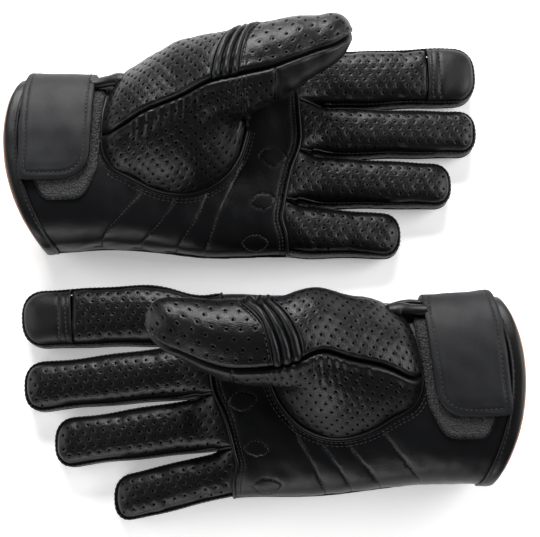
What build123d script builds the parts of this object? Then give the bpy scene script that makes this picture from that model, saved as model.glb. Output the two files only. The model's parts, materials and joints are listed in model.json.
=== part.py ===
"""A pair of leather gloves with hook-and-loop wrist straps, laid down palm up.

Each glove is modelled in its own frame, in millimetres: +X from the cuff to the
fingertips, +Y towards the thumb, +Z from the back of the hand to the palm, with
the origin on the surface that the glove lies on, at the middle of the wrist.
The right glove is the left one's mirror image, with its fingers spread wider
and its thumb further in.
"""

import os
from math import cos, radians, sin, tan

from build123d import *

# Sheet thicknesses
LEATHER = 1.3
LINING = 2.0
FOAM = 1.1
PAD = 1.8  # each half of the hook-and-loop closure
STRAP = 1.8
JOINT_GAP = 0.25  # between a moving stall and the hand
THUMB_GAP = 1.2  # round the root of the thumb, where its stall swings into the neck
LIFT_GAP = 0.35  # between the closed strap's hooks and the loops

SUNK = -0.1  # the hand's back starts this low and is pressed flat by the surface it lies on

# The hand tube: x, lowest y, highest y, lowest z, highest z, corner radius
HAND = [
    (-8, -46, 47, 1.0, 46, 18),
    (30, -42.5, 46, 1.0, 45, 17),
    (48, -41, 47, SUNK, 43, 15),
    (75, -41.5, 52, SUNK, 37, 13),
    (100, -43, 58, SUNK, 33, 12),
    (125, -43.8, 64, SUNK, 30, 11),
    (152, -44, 69, SUNK, 27.5, 10),
]
SIDE_SEAM_Z = 15  # where the palm panel meets the back panel
REACH = 90  # taller and wider than any part of the hand tube

# The cuff's edge, bowed towards the arm, in plan
CUFF_ARC = [(22, -50), (0, 10), (8, 54)]
BINDING_WIDTH = 6.5
BINDING_THICK = 0.9
LINING_PEEP = 1.8

# Fingers: base x, base y, base width, tip width, length, tip thickness
FINGERS = {
    "index": (149, 53.2, 31, 28.5, 94.5, 19.5),
    "middle": (149, 23.8, 25.8, 24, 94, 19),
    "ring": (144.5, -3.2, 25.6, 23.4, 84, 18.5),
    "little": (142, -30.4, 26, 22, 58.5, 17.5),
}
SPREAD = {
    "left": {"index": 2.5, "middle": 0.8, "ring": -0.8, "little": -1.5},
    "right": {"index": 2.5, "middle": -1.0, "ring": -2.6, "little": -6.0},
}
FINGER_TOP = 26  # thickness of a stall at its base
KNUCKLE_Z = 27.5  # height of the finger hinges
STALL_CORNER = 7.5
TIP_ROUND = 6.5
FRONT_DEPTH = 6  # how far a finger's front and back panels wrap round its sides
TOUCH_TIP = 25

# Thumb: its hinge plane crosses the axis at THUMB_ROOT
THUMB_ROOT = (106, 36, 52)
THUMB_YAW = {"left": 22, "right": 6}
THUMB_FLAT = 0.8  # height of the thumb's section as a share of its width
THUMB_RADII = [(0, 21.2), (17, 20.6), (30, 19.4), (46, 17.6), (58, 15.2), (66, 12), (71, 8), (73, 4)]
RIB_COUNT = 3
RIB_ZONE = 16.5
RIB_HEIGHT = 1.1
UNDERSIDE_TILT = 35

# The ball of the thumb: a flattened dome, and the neck that joins it to the thumb
DOME = (84, 17, 16)
DOME_RADII = (42, 35, 38)
NECK_START = (60, 17, 32)
NECK_RADII = (25, 21)
PIPING = 2.0
DOME_PAD_WALL = 1.4

# Wrist strap and closure, in plan
STRAP_X = (8.5, 42.5)
STRAP_END_Y = -13
STRAP_CORNERS = (4, 15)  # cuff side, finger side
STRAP_LIFT = PAD + LIFT_GAP + PAD
STRAP_HINGE_Z = 25
ANCHOR_BOTTOM_Z = 7
LOOP_X = (13, 45)
LOOP_Y = (-24, 34)
HOOK_Y = (-10, 22)

# Where each glove lies
PLACE = {
    "left": Location((-133, 52, 0)),
    "right": Location((121, -63, 0), (0, 0, 4.5)),
}


def prism(plan, low=-5, high=REACH):
    """A plan outline raised from low to high."""
    with BuildPart() as raised:
        with BuildSketch(Plane.XY.offset(low)):
            add(plan)
        extrude(amount=high - low)
    return raised.part


def slab(x=(-REACH, 300), y=(-REACH, REACH), z=(-5, REACH)):
    """A block between the given limits."""
    with BuildPart() as block:
        with Locations((x[0], y[0], z[0])):
            Box(x[1] - x[0], y[1] - y[0], z[1] - z[0], align=(Align.MIN,) * 3)
    return block.part


def hand_block(grow=0.0):
    """The outside of the hand tube from wrist to knuckles, grown by an even wall."""
    with BuildPart() as block:
        for x, y_low, y_high, z_low, z_high, corner in HAND:
            with BuildSketch(Plane.YZ.offset(x)):
                with Locations(((y_low + y_high) / 2, (z_low + z_high) / 2)):
                    RectangleRounded(y_high - y_low + 2 * grow, z_high - z_low + 2 * grow, corner + grow)
        loft(ruled=True)
    return cut(block.part, slab(z=(-5, 0)))


def hand_plan(setback=0.0, knuckle_gap=0.0):
    """The hand's outline in plan, from the cuff's arc to the stepped finger bases."""
    (x0, y0), (x1, y1), (x2, y2) = CUFF_ARC
    knuckles = [(FINGERS["index"][0] - knuckle_gap, REACH)]
    for name, (base_x, base_y, width, _, _, _) in FINGERS.items():
        low = y0 if name == "little" else base_y - width / 2 - JOINT_GAP / 2
        for corner in ((base_x - knuckle_gap, knuckles[-1][1]), (base_x - knuckle_gap, low)):
            if corner != knuckles[-1]:
                knuckles.append(corner)
    with BuildSketch() as plan:
        with BuildLine():
            ThreePointArc((x0 + setback, y0), (x1 + setback, y1), (x2 + setback, y2))
            Polyline((x2 + setback, y2), (x2 + setback, REACH), *knuckles, (x0 + setback, y0))
        make_face()
    return plan.sketch


def dome_block(side, grow=0.0, neck_end=0.0):
    """The ball of the thumb with its neck, which stops at the thumb's hinge plane."""
    hinge = thumb_plane(side)
    with BuildPart() as ball:
        Sphere(1)
        scale(by=tuple(radius + grow for radius in DOME_RADII))
    with BuildPart() as neck:
        start = Plane(origin=NECK_START, x_dir=hinge.y_dir, z_dir=hinge.x_dir)
        end = Plane(origin=THUMB_ROOT, x_dir=hinge.y_dir, z_dir=hinge.x_dir).offset(neck_end)
        with BuildSketch(start):
            Ellipse(NECK_RADII[0] + grow, NECK_RADII[1] + grow)
        with BuildSketch(end):
            radius = THUMB_RADII[0][1]
            Ellipse(radius + grow, radius * THUMB_FLAT + grow)
        loft(ruled=True)
    with BuildPart() as block:
        with Locations(DOME):
            add(ball.part)
        add(neck.part)
    return block.part


def thumb_plane(side):
    """The thumb's own frame: X along the thumb, Z up."""
    yaw = radians(THUMB_YAW[side])
    return Plane(origin=THUMB_ROOT, x_dir=(cos(yaw), sin(yaw), 0), z_dir=(0, 0, 1))


def thumb_block(side, grow=0.0, ribs=True, start=JOINT_GAP):
    """The thumb stall as one solid: elliptical sections along its axis, ribs first."""
    stations = [(start, THUMB_RADII[0][1])]
    if ribs:
        pitch = (RIB_ZONE - start) / RIB_COUNT
        for step in range(1, 4 * RIB_COUNT):
            rise = RIB_HEIGHT * (0, 0.8, 1, 0.8)[step % 4]
            stations.append((start + step * pitch / 4, THUMB_RADII[0][1] + rise))
    stations += [(x, radius) for x, radius in THUMB_RADII[1:]]
    with BuildPart() as block:
        for x, radius in stations:
            with BuildSketch(Plane.YZ.offset(x if x < THUMB_RADII[3][0] else x + grow)):
                Ellipse(radius + grow, radius * THUMB_FLAT + grow)
        loft(ruled=True)
    return thumb_plane(side).location * block.part


def stall_block(finger, side, grow=0.0, start=JOINT_GAP):
    """One finger stall as a solid: rounded sections that narrow to a rounded tip."""
    base_x, base_y, base_width, tip_width, length, tip_thick = FINGERS[finger]
    slope = tan(radians(SPREAD[side][finger]))
    end = length + grow
    with BuildPart() as block:
        for x in (start, end):
            share = x / length
            width = base_width + share * (tip_width - base_width) + 2 * grow
            thick = FINGER_TOP + share * (tip_thick - FINGER_TOP) + 2 * grow
            with BuildSketch(Plane.YZ.offset(base_x + x)):
                with Locations((base_y + x * slope, thick / 2 - grow)):
                    RectangleRounded(width, thick, STALL_CORNER + grow)
        loft(ruled=True)
        fillet(block.faces().sort_by(Axis.X)[-1].edges(), TIP_ROUND + grow)
    return block.part


def cut(part, *others, keep=None):
    """The part less the others, and within keep where it is given."""
    with BuildPart() as result:
        add(part)
        for other in others:
            add(other, mode=Mode.SUBTRACT)
        if keep is not None:
            add(keep, mode=Mode.INTERSECT)
    return result.part


def biggest(part):
    """The largest solid of a part, without the crumbs that a cut leaves."""
    with BuildPart() as result:
        add(part.solids().sort_by(SortBy.VOLUME)[-1])
    return result.part


def hand_parts(side):
    """The leather, lining, foam and trim of the hand, and the ball of the thumb."""
    leather_plan = prism(hand_plan(setback=BINDING_THICK))
    outside = hand_block()
    under_leather = hand_block(-LEATHER)
    ball_hollow = dome_block(side, -DOME_PAD_WALL, neck_end=2)
    leather = cut(outside, under_leather, ball_hollow, keep=leather_plan)

    binding_edge = cut(hand_block(BINDING_THICK), under_leather, keep=prism(hand_plan()))
    inside_binding = cut(outside, keep=leather_plan)
    beyond_binding = prism(hand_plan(setback=BINDING_WIDTH))

    heel = slab(x=(46, 106), y=(-36, -19.5), z=(SIDE_SEAM_Z + 5, REACH))
    padding = cut(under_leather, hand_block(-LEATHER - FOAM), keep=heel)
    lining_plan = prism(hand_plan(setback=-LINING_PEEP, knuckle_gap=1))
    lining = cut(under_leather, hand_block(-LEATHER - LINING), ball_hollow, padding, keep=lining_plan)

    thumb_room = thumb_block(side, THUMB_GAP, start=-THUMB_GAP)
    palm_side = slab(z=(SIDE_SEAM_Z + 5, REACH))
    ball = cut(dome_block(side), ball_hollow, outside, thumb_room, keep=palm_side)
    along_neck = Vector(*THUMB_ROOT) - Vector(*NECK_START)
    seam = Plane(origin=THUMB_ROOT, x_dir=along_neck, z_dir=along_neck.cross(Vector(0, 0, 1)))
    welt = cut(dome_block(side, PIPING), dome_block(side), outside, thumb_room, keep=palm_side)
    welt = cut(welt, slab(x=(THUMB_ROOT[0] - 8, 300)), keep=hand_block(PIPING))

    loop_pad = cut(hand_block(PAD), outside, keep=prism(pad_plan(LOOP_X, LOOP_Y, 12), SIDE_SEAM_Z + 10))
    loop_pad = cut(loop_pad, dome_block(side, PIPING + 0.2))
    vent = slab(x=(STRAP_X[1] + 3, 66), y=(30, REACH), z=(24, REACH))
    vent = cut(hand_block(PAD), outside, dome_block(side, PIPING + 0.2), keep=vent)

    anchor_room = slab(x=STRAP_X, y=(30, REACH), z=(ANCHOR_BOTTOM_Z, STRAP_HINGE_Z - JOINT_GAP))
    anchor = cut(hand_block(STRAP_LIFT + STRAP), hand_block(BINDING_THICK), keep=anchor_room)
    return {
        "palm_panel": cut(leather, keep=slab(z=(SIDE_SEAM_Z, REACH))),
        "back_panel": cut(leather, keep=slab(z=(-5, SIDE_SEAM_Z))),
        "hand_lining": lining,
        "palm_padding": padding,
        "cuff_binding": cut(binding_edge, inside_binding, beyond_binding),
        "thenar_lower_panel": biggest(split(ball, bisect_by=seam, keep=Keep.TOP)),
        "thenar_upper_panel": biggest(split(ball, bisect_by=seam, keep=Keep.BOTTOM)),
        "thenar_piping": biggest(welt),
        "vent_binding": biggest(vent),
        "loop_pad": biggest(loop_pad),
        "strap_anchor": biggest(anchor),
    }


def pad_plan(x_range, y_range, corner):
    """A pad in plan, with its end towards the little finger rounded."""
    with BuildSketch() as plan:
        with Locations((x_range[0], y_range[0])):
            Rectangle(x_range[1] - x_range[0], y_range[1] - y_range[0], align=(Align.MIN, Align.MIN))
        fillet(plan.vertices().group_by(Axis.Y)[0], corner)
    return plan.sketch


def strap_parts():
    """The wrist strap, which wraps from the thumb's side over the palm side."""
    with BuildSketch() as plan:
        with Locations((STRAP_X[0], STRAP_END_Y)):
            Rectangle(STRAP_X[1] - STRAP_X[0], REACH - STRAP_END_Y, align=(Align.MIN, Align.MIN))
        free_end = plan.vertices().group_by(Axis.Y)[0].sort_by(Axis.X)
        fillet(free_end[0], STRAP_CORNERS[0])
        fillet(free_end[-1], STRAP_CORNERS[1])
    reach = prism(plan.sketch, STRAP_HINGE_Z)
    hook_plan = prism(pad_plan((STRAP_X[0] + 5, STRAP_X[1] - 5), HOOK_Y, 10), SIDE_SEAM_Z + 10)
    hooks = cut(hand_block(STRAP_LIFT), hand_block(PAD + LIFT_GAP), keep=hook_plan)
    return {
        "wrist_strap": biggest(cut(hand_block(STRAP_LIFT + STRAP), hand_block(STRAP_LIFT), keep=reach)),
        "hook_pad": biggest(hooks),
    }


def thumb_parts(side):
    """The thumb stall: padded ribs, perforated tip cap and smooth underside."""
    plane = thumb_plane(side)
    shell = cut(thumb_block(side), thumb_block(side, -LEATHER, ribs=False, start=-1))
    tilt = Plane(plane.location * Location((0, 0, 0), (UNDERSIDE_TILT, 0, 0)))
    at_ribs = Plane(origin=plane.location.position, z_dir=plane.x_dir).offset(RIB_ZONE)
    outer = split(shell, bisect_by=tilt, keep=Keep.TOP)
    return {
        "thumb_ribs": biggest(split(outer, bisect_by=at_ribs, keep=Keep.BOTTOM)),
        "thumb_tip_cap": biggest(split(outer, bisect_by=at_ribs, keep=Keep.TOP)),
        "thumb_underside": biggest(split(shell, bisect_by=tilt, keep=Keep.BOTTOM)),
    }


def finger_parts(finger, side):
    """One stall: the front panel, the side wall that runs round the tip, and the back."""
    base_x, _, _, _, length, tip_thick = FINGERS[finger]
    shell = cut(stall_block(finger, side), stall_block(finger, side, -LEATHER, start=-1))
    with BuildPart() as above:
        with BuildSketch(Plane.XZ.offset(-REACH)):
            with BuildLine():
                Polyline(
                    (base_x - 5, REACH),
                    (base_x - 5, FINGER_TOP - FRONT_DEPTH),
                    (base_x, FINGER_TOP - FRONT_DEPTH),
                    (base_x + length, tip_thick - FRONT_DEPTH),
                    (base_x + length + 5, tip_thick - FRONT_DEPTH),
                    (base_x + length + 5, REACH),
                    close=True,
                )
            make_face()
        extrude(amount=2 * REACH)
    below = slab(x=(base_x - 5, 300), z=(-5, FRONT_DEPTH))
    front = cut(shell, keep=above.part)
    parts = {
        "front": front,
        "fourchette": cut(shell, above.part, below),
        "back": cut(shell, keep=below),
    }
    if finger == "index":
        touch = slab(x=(base_x + length - TOUCH_TIP, 300))
        parts["front"] = cut(front, touch)
        parts["touch_tip"] = cut(front, keep=touch)
    return {f"{finger}_{name}": part for name, part in parts.items()}


def glove(side):
    """Every piece of one glove, mirrored for the right hand and laid in its place."""
    parts = hand_parts(side) | strap_parts() | thumb_parts(side)
    for finger in FINGERS:
        parts |= finger_parts(finger, side)
    if side == "right":
        parts = {name: mirror(part, about=Plane.YZ) for name, part in parts.items()}
    return {f"{side}_{name}": PLACE[side] * part for name, part in parts.items()}


pair = glove("left") | glove("right")
boxes = [part.bounding_box() for part in pair.values()]
lowest = [min(tuple(box.min)[axis] for box in boxes) for axis in range(3)]
highest = [max(tuple(box.max)[axis] for box in boxes) for axis in range(3)]
middle_x, middle_y, _ = ((low + high) / 2 for low, high in zip(lowest, highest))
TO_ORIGIN = Location((-middle_x, -middle_y, -lowest[2]))

os.makedirs("parts", exist_ok=True)
for name, piece in pair.items():
    placed = TO_ORIGIN * piece
    placed.label = name
    export_step(placed, f"parts/{name}.step")
print("size", [high - low for low, high in zip(lowest, highest)], "moved by", TO_ORIGIN.position)
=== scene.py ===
# %% [markdown]
# # A pair of leather driving gloves
# Two soft black gloves lie palm up. Every piece is built here as leather is cut and sewn: as flat pattern
# pieces with punched holes and stitch lines, wrapped over the shape of a filled hand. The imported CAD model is
# the frame: it gives the bodies, the hinges and the size, and each sewn piece takes the place of a plain CAD
# solid.

# %% Load the frame
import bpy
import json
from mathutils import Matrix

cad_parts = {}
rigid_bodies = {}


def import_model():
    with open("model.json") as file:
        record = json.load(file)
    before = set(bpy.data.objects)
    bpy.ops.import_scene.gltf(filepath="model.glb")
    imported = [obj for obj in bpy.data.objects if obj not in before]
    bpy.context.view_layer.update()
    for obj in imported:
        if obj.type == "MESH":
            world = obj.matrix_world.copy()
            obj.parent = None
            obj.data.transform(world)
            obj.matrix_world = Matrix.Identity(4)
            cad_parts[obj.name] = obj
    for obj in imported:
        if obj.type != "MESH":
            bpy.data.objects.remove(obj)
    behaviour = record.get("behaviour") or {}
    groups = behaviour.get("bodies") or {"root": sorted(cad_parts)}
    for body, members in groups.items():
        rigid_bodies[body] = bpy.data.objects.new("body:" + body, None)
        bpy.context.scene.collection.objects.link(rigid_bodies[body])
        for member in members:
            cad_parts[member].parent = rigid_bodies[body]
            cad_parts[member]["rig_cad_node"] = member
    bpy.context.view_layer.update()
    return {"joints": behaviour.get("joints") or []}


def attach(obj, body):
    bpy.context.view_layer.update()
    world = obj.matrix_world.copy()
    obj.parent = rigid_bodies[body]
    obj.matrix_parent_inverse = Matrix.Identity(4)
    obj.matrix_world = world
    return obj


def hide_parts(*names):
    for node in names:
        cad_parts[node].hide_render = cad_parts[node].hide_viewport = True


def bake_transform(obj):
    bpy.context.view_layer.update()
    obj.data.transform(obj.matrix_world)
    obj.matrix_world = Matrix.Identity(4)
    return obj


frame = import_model()

import json
from math import cos, pi, radians, sin, tan

import bpy
import numpy as np
from mathutils import Vector
from mathutils.geometry import delaunay_2d_cdt

joints = {joint["name"]: joint for joint in frame["joints"]}

# %% [markdown]
# ## Where the camera stands
# The pair is seen from almost straight above, leaning a little towards the fingertips' side. A long lens
# keeps the two gloves the same size. The camera comes first, so that everything later can be judged through
# it.

# %% The camera
AIM = Vector((0.0064, 0.0007, 0.020))
DISTANCE, LEAN = 0.520, radians(14)
LENS, SENSOR = 67.9, 36

camera = bpy.data.objects.new("camera", bpy.data.cameras.new("camera"))
bpy.context.scene.collection.objects.link(camera)
back = Vector((0, -sin(LEAN), cos(LEAN)))
camera.location = AIM + back * DISTANCE
camera.rotation_mode = "QUATERNION"
camera.rotation_quaternion = back.to_track_quat("Z", "Y")
camera.data.lens, camera.data.sensor_width = LENS, SENSOR
camera.data.clip_start, camera.data.clip_end = 0.02, 20
bpy.context.scene.camera = camera
print("camera at", tuple(round(v, 3) for v in camera.location))

# %% [markdown]
# ## A glove's own frame
# A glove is easier to think about in its own frame, in millimetres: x runs from cuff to fingertips, y towards
# the thumb, z up from the table. The hinges of the fingers say where that frame lies, so nothing has to be
# placed by hand. The right glove is a mirror image, which also turns every face inside out, so its faces are
# wound the other way.

# %% From a glove's millimetres to the shared frame
HINGE = (149.0, 23.8)  # the middle finger's hinge in a glove's own frame, mm


class Frame:
    """One glove's own millimetres, laid in the shared frame."""

    def __init__(self, side):
        self.side = side
        self.mirrored = side == "right"
        hinge = joints[f"{side}_middle_flex"]
        axis = np.array(hinge["axis"], float)
        self.across = axis if self.mirrored else -axis
        turn = -1 if self.mirrored else 1
        self.along = turn * np.array([self.across[1], -self.across[0], 0.0])
        at = np.array(hinge["pos_m"], float) * [1, 1, 0]
        self.origin = at - (self.along * HINGE[0] + self.across * HINGE[1]) / 1000

    def world(self, points):
        points = np.atleast_2d(points) / 1000
        return (
            self.origin
            + points[:, :1] * self.along
            + points[:, 1:2] * self.across
            + points[:, 2:] * np.array([0, 0, 1.0])
        )

    def place(self, x, y, z):
        return tuple(self.world([[x, y, z]])[0])


for side in ("left", "right"):
    print(side, "wrist at", Frame(side).place(0, 0, 0), "middle tip at", Frame(side).place(243, 25, 10))

# %% [markdown]
# ## Small helpers for curves and unevenness
# Shapes are given by a few measured stations and a smooth curve through them. Leather is never quite even, so
# a seeded sum of sine waves gives a gentle, repeatable unevenness.

# %% Smooth tables and ripples
CHUNK = 4000  # points measured at a time, to spare memory


def smooth(x, knots, values):
    """The value at x of a curve without corners through the knots."""
    x, knots, values = (np.asarray(v, float) for v in (x, knots, values))
    slope = np.gradient(values, knots)
    i = np.clip(np.searchsorted(knots, x) - 1, 0, len(knots) - 2)
    gap = knots[i + 1] - knots[i]
    t = np.clip((x - knots[i]) / gap, 0, 1)
    return (
        (2 * t**3 - 3 * t**2 + 1) * values[i]
        + (t**3 - 2 * t**2 + t) * gap * slope[i]
        + (3 * t**2 - 2 * t**3) * values[i + 1]
        + (t**3 - t**2) * gap * slope[i + 1]
    )


def step_up(x, low, high):
    """0 below low, 1 above high, and a soft rise between."""
    t = np.clip((x - low) / (high - low), 0, 1)
    return t * t * (3 - 2 * t)


def ripple(points, pitch, seed, waves=7):
    """Smooth unevenness, mostly between -1 and 1, about pitch mm from crest to crest."""
    draw = np.random.default_rng(seed)
    total = np.zeros(len(points))
    for _ in range(waves):
        way = draw.normal(size=points.shape[1])
        way *= 2 * pi / (pitch * draw.uniform(0.7, 1.5)) / np.linalg.norm(way)
        total += np.sin(points @ way + draw.uniform(0, 2 * pi))
    return total / waves**0.5 * 0.8


print("half way up a soft step", step_up(5, 0, 10))


# %% Lines and outlines
def along_line(points, pitch):
    """Points every pitch mm or so along a line, ends included."""
    points = np.asarray(points, float)
    runs = np.linalg.norm(np.diff(points, axis=0), axis=1)
    keep = np.concatenate([[True], runs > 1e-6])
    points, runs = points[keep], runs[runs > 1e-6]
    at = np.concatenate([[0], np.cumsum(runs)])
    want = np.linspace(0, at[-1], max(2, int(round(at[-1] / pitch)) + 1))
    return np.stack([np.interp(want, at, column) for column in points.T], 1)


def even_outline(outline, pitch):
    """A closed outline as points every pitch mm or so; the last one is not the first again."""
    return along_line(np.vstack([outline, outline[:1]]), pitch)[:-1]


def curved_line(stations, pitch=1.0):
    """A smooth line through a few stations."""
    stations = np.asarray(stations, float)
    at = np.concatenate([[0], np.cumsum(np.linalg.norm(np.diff(stations, axis=0), axis=1))])
    fine = np.linspace(0, at[-1], 40 * len(stations))
    return along_line(np.stack([smooth(fine, at, column) for column in stations.T], 1), pitch)


def gap_to_line(points, line):
    """How far each point is from the nearest part of a line."""
    line = np.asarray(line, float)
    a, run = line[:-1], np.diff(line, axis=0)
    square = np.maximum((run**2).sum(1), 1e-12)
    best = np.full(len(points), 1e9)
    for k in range(0, len(points), CHUNK):
        away = points[k : k + CHUNK, None, :] - a[None]
        t = np.clip((away * run).sum(2) / square, 0, 1)
        best[k : k + CHUNK] = np.sqrt(((away - t[..., None] * run) ** 2).sum(2).min(1))
    return best


def inside(points, outline):
    """Whether each point is inside a closed outline."""
    x, y = points[:, 0][:, None], points[:, 1][:, None]
    a, b = np.asarray(outline, float), np.roll(outline, -1, axis=0)
    crosses = (a[:, 1] > y) != (b[:, 1] > y)
    rise = np.where(np.abs(b[:, 1] - a[:, 1]) < 1e-12, 1e-12, b[:, 1] - a[:, 1])
    at = a[:, 0] + (y - a[:, 1]) * (b[:, 0] - a[:, 0]) / rise
    return ((crosses & (x < at)).sum(1) % 2).astype(bool)


def offset_line(line, by, closed):
    """A line moved sideways."""
    if closed:
        run = np.roll(line, -1, axis=0) - np.roll(line, 1, axis=0)
    else:
        run = np.gradient(line, axis=0)
    side = np.stack([-run[:, 1], run[:, 0]], 1) / np.maximum(np.linalg.norm(run, axis=1), 1e-9)[:, None]
    return line + side * by


def staggered(low, high, along, across):
    """Points in even rows over a box, every second row moved by half a step."""
    rows = []
    for k, y in enumerate(np.arange(low[1], high[1], across)):
        xs = np.arange(low[0] + (k % 2) * along / 2, high[0], along)
        rows.append(np.stack([xs, np.full(len(xs), y)], 1))
    return np.concatenate(rows)


print("a 10 mm line in 3 mm steps has", len(along_line([(0, 0), (10, 0)], 3)), "points")

# %% [markdown]
# ## A flat leather pattern
# Real panels are cut flat and punched before they are sewn, and a mesh can be made in the same order. The
# flat pattern is filled with evenly spaced points, denser along its edge, its stitch lines and round every
# punched hole. Extra rows are only laid where the leather bends sharply, so that the mesh stays light
# elsewhere.

# %% Points of a flat pattern
HOLE = 0.62  # radius of a punched hole, mm
RIM = 1.6  # the leather round a hole is pulled in as far out as this many radii
RIM_POINTS, HOLE_POINTS = 12, 10
ROW_HEIGHT = 0.866  # between rows of evenly spread points, as a share of their pitch
EDGE_ROWS = (0.4, 0.95)  # rows beside the edge, mm
CREASE_ROWS = (0, -0.7, 0.7, -1.6, 1.6)  # rows beside a crease, as shares of its width


def rings(centres, radius, count):
    angle = np.arange(count) * 2 * pi / count
    spokes = np.stack([np.cos(angle), np.sin(angle)], 1) * radius
    return (centres[:, None] + spokes[None]).reshape(-1, 2)


def clear_of(points, centres, gap):
    """The points that lie more than gap from every centre."""
    near = np.full(len(points), 1e9)
    for k in range(0, len(points), CHUNK):
        near[k : k + CHUNK] = np.linalg.norm(points[k : k + CHUNK, None] - centres[None], axis=2).min(1)
    return points[near > gap]


def guide_rows(outline, closed, creases, pitch, tuck):
    """Rows of points beside the edge and along the creases, where the leather bends most."""
    area = (outline[:, 0] * np.roll(outline[:, 1], -1) - np.roll(outline[:, 0], -1) * outline[:, 1]).sum()
    inward = 1 if area > 0 else -1
    rows = [np.zeros((0, 2))]
    for by in EDGE_ROWS if tuck else ():
        row = offset_line(outline, by * inward, True)
        rows.append(row[inside(row, outline) & (gap_to_line(row, closed) > 0.8 * by)])
    for line, width, _ in creases:
        line = along_line(line, pitch * 0.8)
        for by in CREASE_ROWS:
            row = offset_line(line, by * width, False)
            rows.append(row[inside(row, outline) & (gap_to_line(row, closed) > 0.5)])
    return np.concatenate(rows)


def punched_holes(holes, outline, closed, creases):
    """The holes that fit: clear of the edge and of every stitch line."""
    if len(holes):
        keep = inside(holes, outline) & (gap_to_line(holes, closed) > 1.6)
        for line, width, _ in creases:
            keep &= gap_to_line(holes, line) > width + 0.9
        holes = holes[keep]
    return holes


def flat_points(outline, closed, holes, creases, pitch, tuck, hole):
    """The outline's points, rows, an even filling, each hole's rim and each hole's lip."""
    fixed = guide_rows(outline, closed, creases, pitch, tuck)
    grid = staggered(outline.min(0), outline.max(0), pitch, pitch * ROW_HEIGHT)
    grid = grid[inside(grid, outline) & (gap_to_line(grid, closed) > (1.35 if tuck else 0.5))]
    for line, width, _ in creases:
        grid = grid[gap_to_line(grid, line) > 1.6 * width + 0.45]
    if len(holes):
        fixed, grid = (clear_of(points, holes, hole * RIM + 0.42) for points in (fixed, grid))
    return [outline, fixed, grid, rings(holes, hole * RIM, RIM_POINTS), rings(holes, hole, HOLE_POINTS)]


print("a hole is", 2 * HOLE, "mm wide and has", HOLE_POINTS, "points")

# %% [markdown]
# ## Joining the points
# Delaunay's rule joins scattered points into the least slender triangles, and it can be told to keep given
# edges. The outline and every hole's lip are kept, so the triangles inside a lip can be taken out cleanly, as
# a punch does.

# %% Triangles of a flat pattern
RIM_SINK, LIP_SINK = 0.03, 0.24  # how far the punch pulls in the leather round a hole and at its lip, mm


def loop_edges(first, count):
    return [(first + k, first + (k + 1) % count) for k in range(count)]


def joined(groups):
    """A pattern's points, triangles, how far each point is pulled in, and the lip it is on, or -1."""
    outline, _, _, rim, lip = groups
    flat = np.concatenate(groups)
    lip_start = len(flat) - len(lip)
    rim_start = lip_start - len(rim)
    edges = loop_edges(0, len(outline))
    for at in range(lip_start, len(flat), HOLE_POINTS):
        edges += loop_edges(at, HOLE_POINTS)
    spots = [Vector(point) for point in flat.tolist()]
    made, _, triangles, origins, _, _ = delaunay_2d_cdt(spots, edges, [], 0, 1e-5, True)
    made, triangles = np.array([tuple(point) for point in made], float), np.array(triangles, int)
    sink, on_lip, lips = np.zeros(len(made)), np.full(len(made), -1), {}
    for new, olds in enumerate(origins):
        for old in olds:
            if old >= lip_start:
                sink[new], on_lip[new] = LIP_SINK, (old - lip_start) // HOLE_POINTS
                lips[old - lip_start] = new
            elif old >= rim_start:
                sink[new] = RIM_SINK
    return made, triangles, sink, on_lip, lips


def shown_triangles(made, triangles, on_lip, outline, hidden):
    """The triangles inside the outline, without what the punch takes out or what hidden(pattern) names."""
    middle, corner = made[triangles].mean(1), on_lip[triangles]
    punched = (corner[:, 0] >= 0) & (corner[:, 0] == corner[:, 1]) & (corner[:, 1] == corner[:, 2])
    keep = inside(middle, outline) & ~punched
    if hidden is not None:
        keep &= ~hidden(middle)
    triangles = triangles[keep]
    a, b, c = (made[triangles[:, k]] for k in range(3))
    turned = np.cross(b - a, c - a) < 0
    triangles[turned] = triangles[turned][:, ::-1]
    return triangles


print("a loop of three has the edges", loop_edges(0, 3))

# %% [markdown]
# ## A leather panel
# The joined pattern is wrapped over the hand: the edge rolls in to its seam, a stitch line sinks, and each
# hole gets a pulled-in rim, a wall and a bottom, so that it is really there in the mesh.

# %% Panel from a flat pattern
HOLE_DEPTH = 0.95
HOLE_FLOOR = 0.85  # a hole's bottom is this share of its mouth
SEAM_IN = -0.6  # an edge starts to roll in this far before its seam, mm


def normals_of(spot, pattern, reach=0.35):
    """The wrapped panel's outward direction at points of its pattern."""
    dx, dy = np.array([reach, 0]), np.array([0, reach])
    normal = np.cross(spot(pattern + dx) - spot(pattern - dx), spot(pattern + dy) - spot(pattern - dy))
    return normal / np.maximum(np.linalg.norm(normal, axis=1), 1e-9)[:, None]


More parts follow.
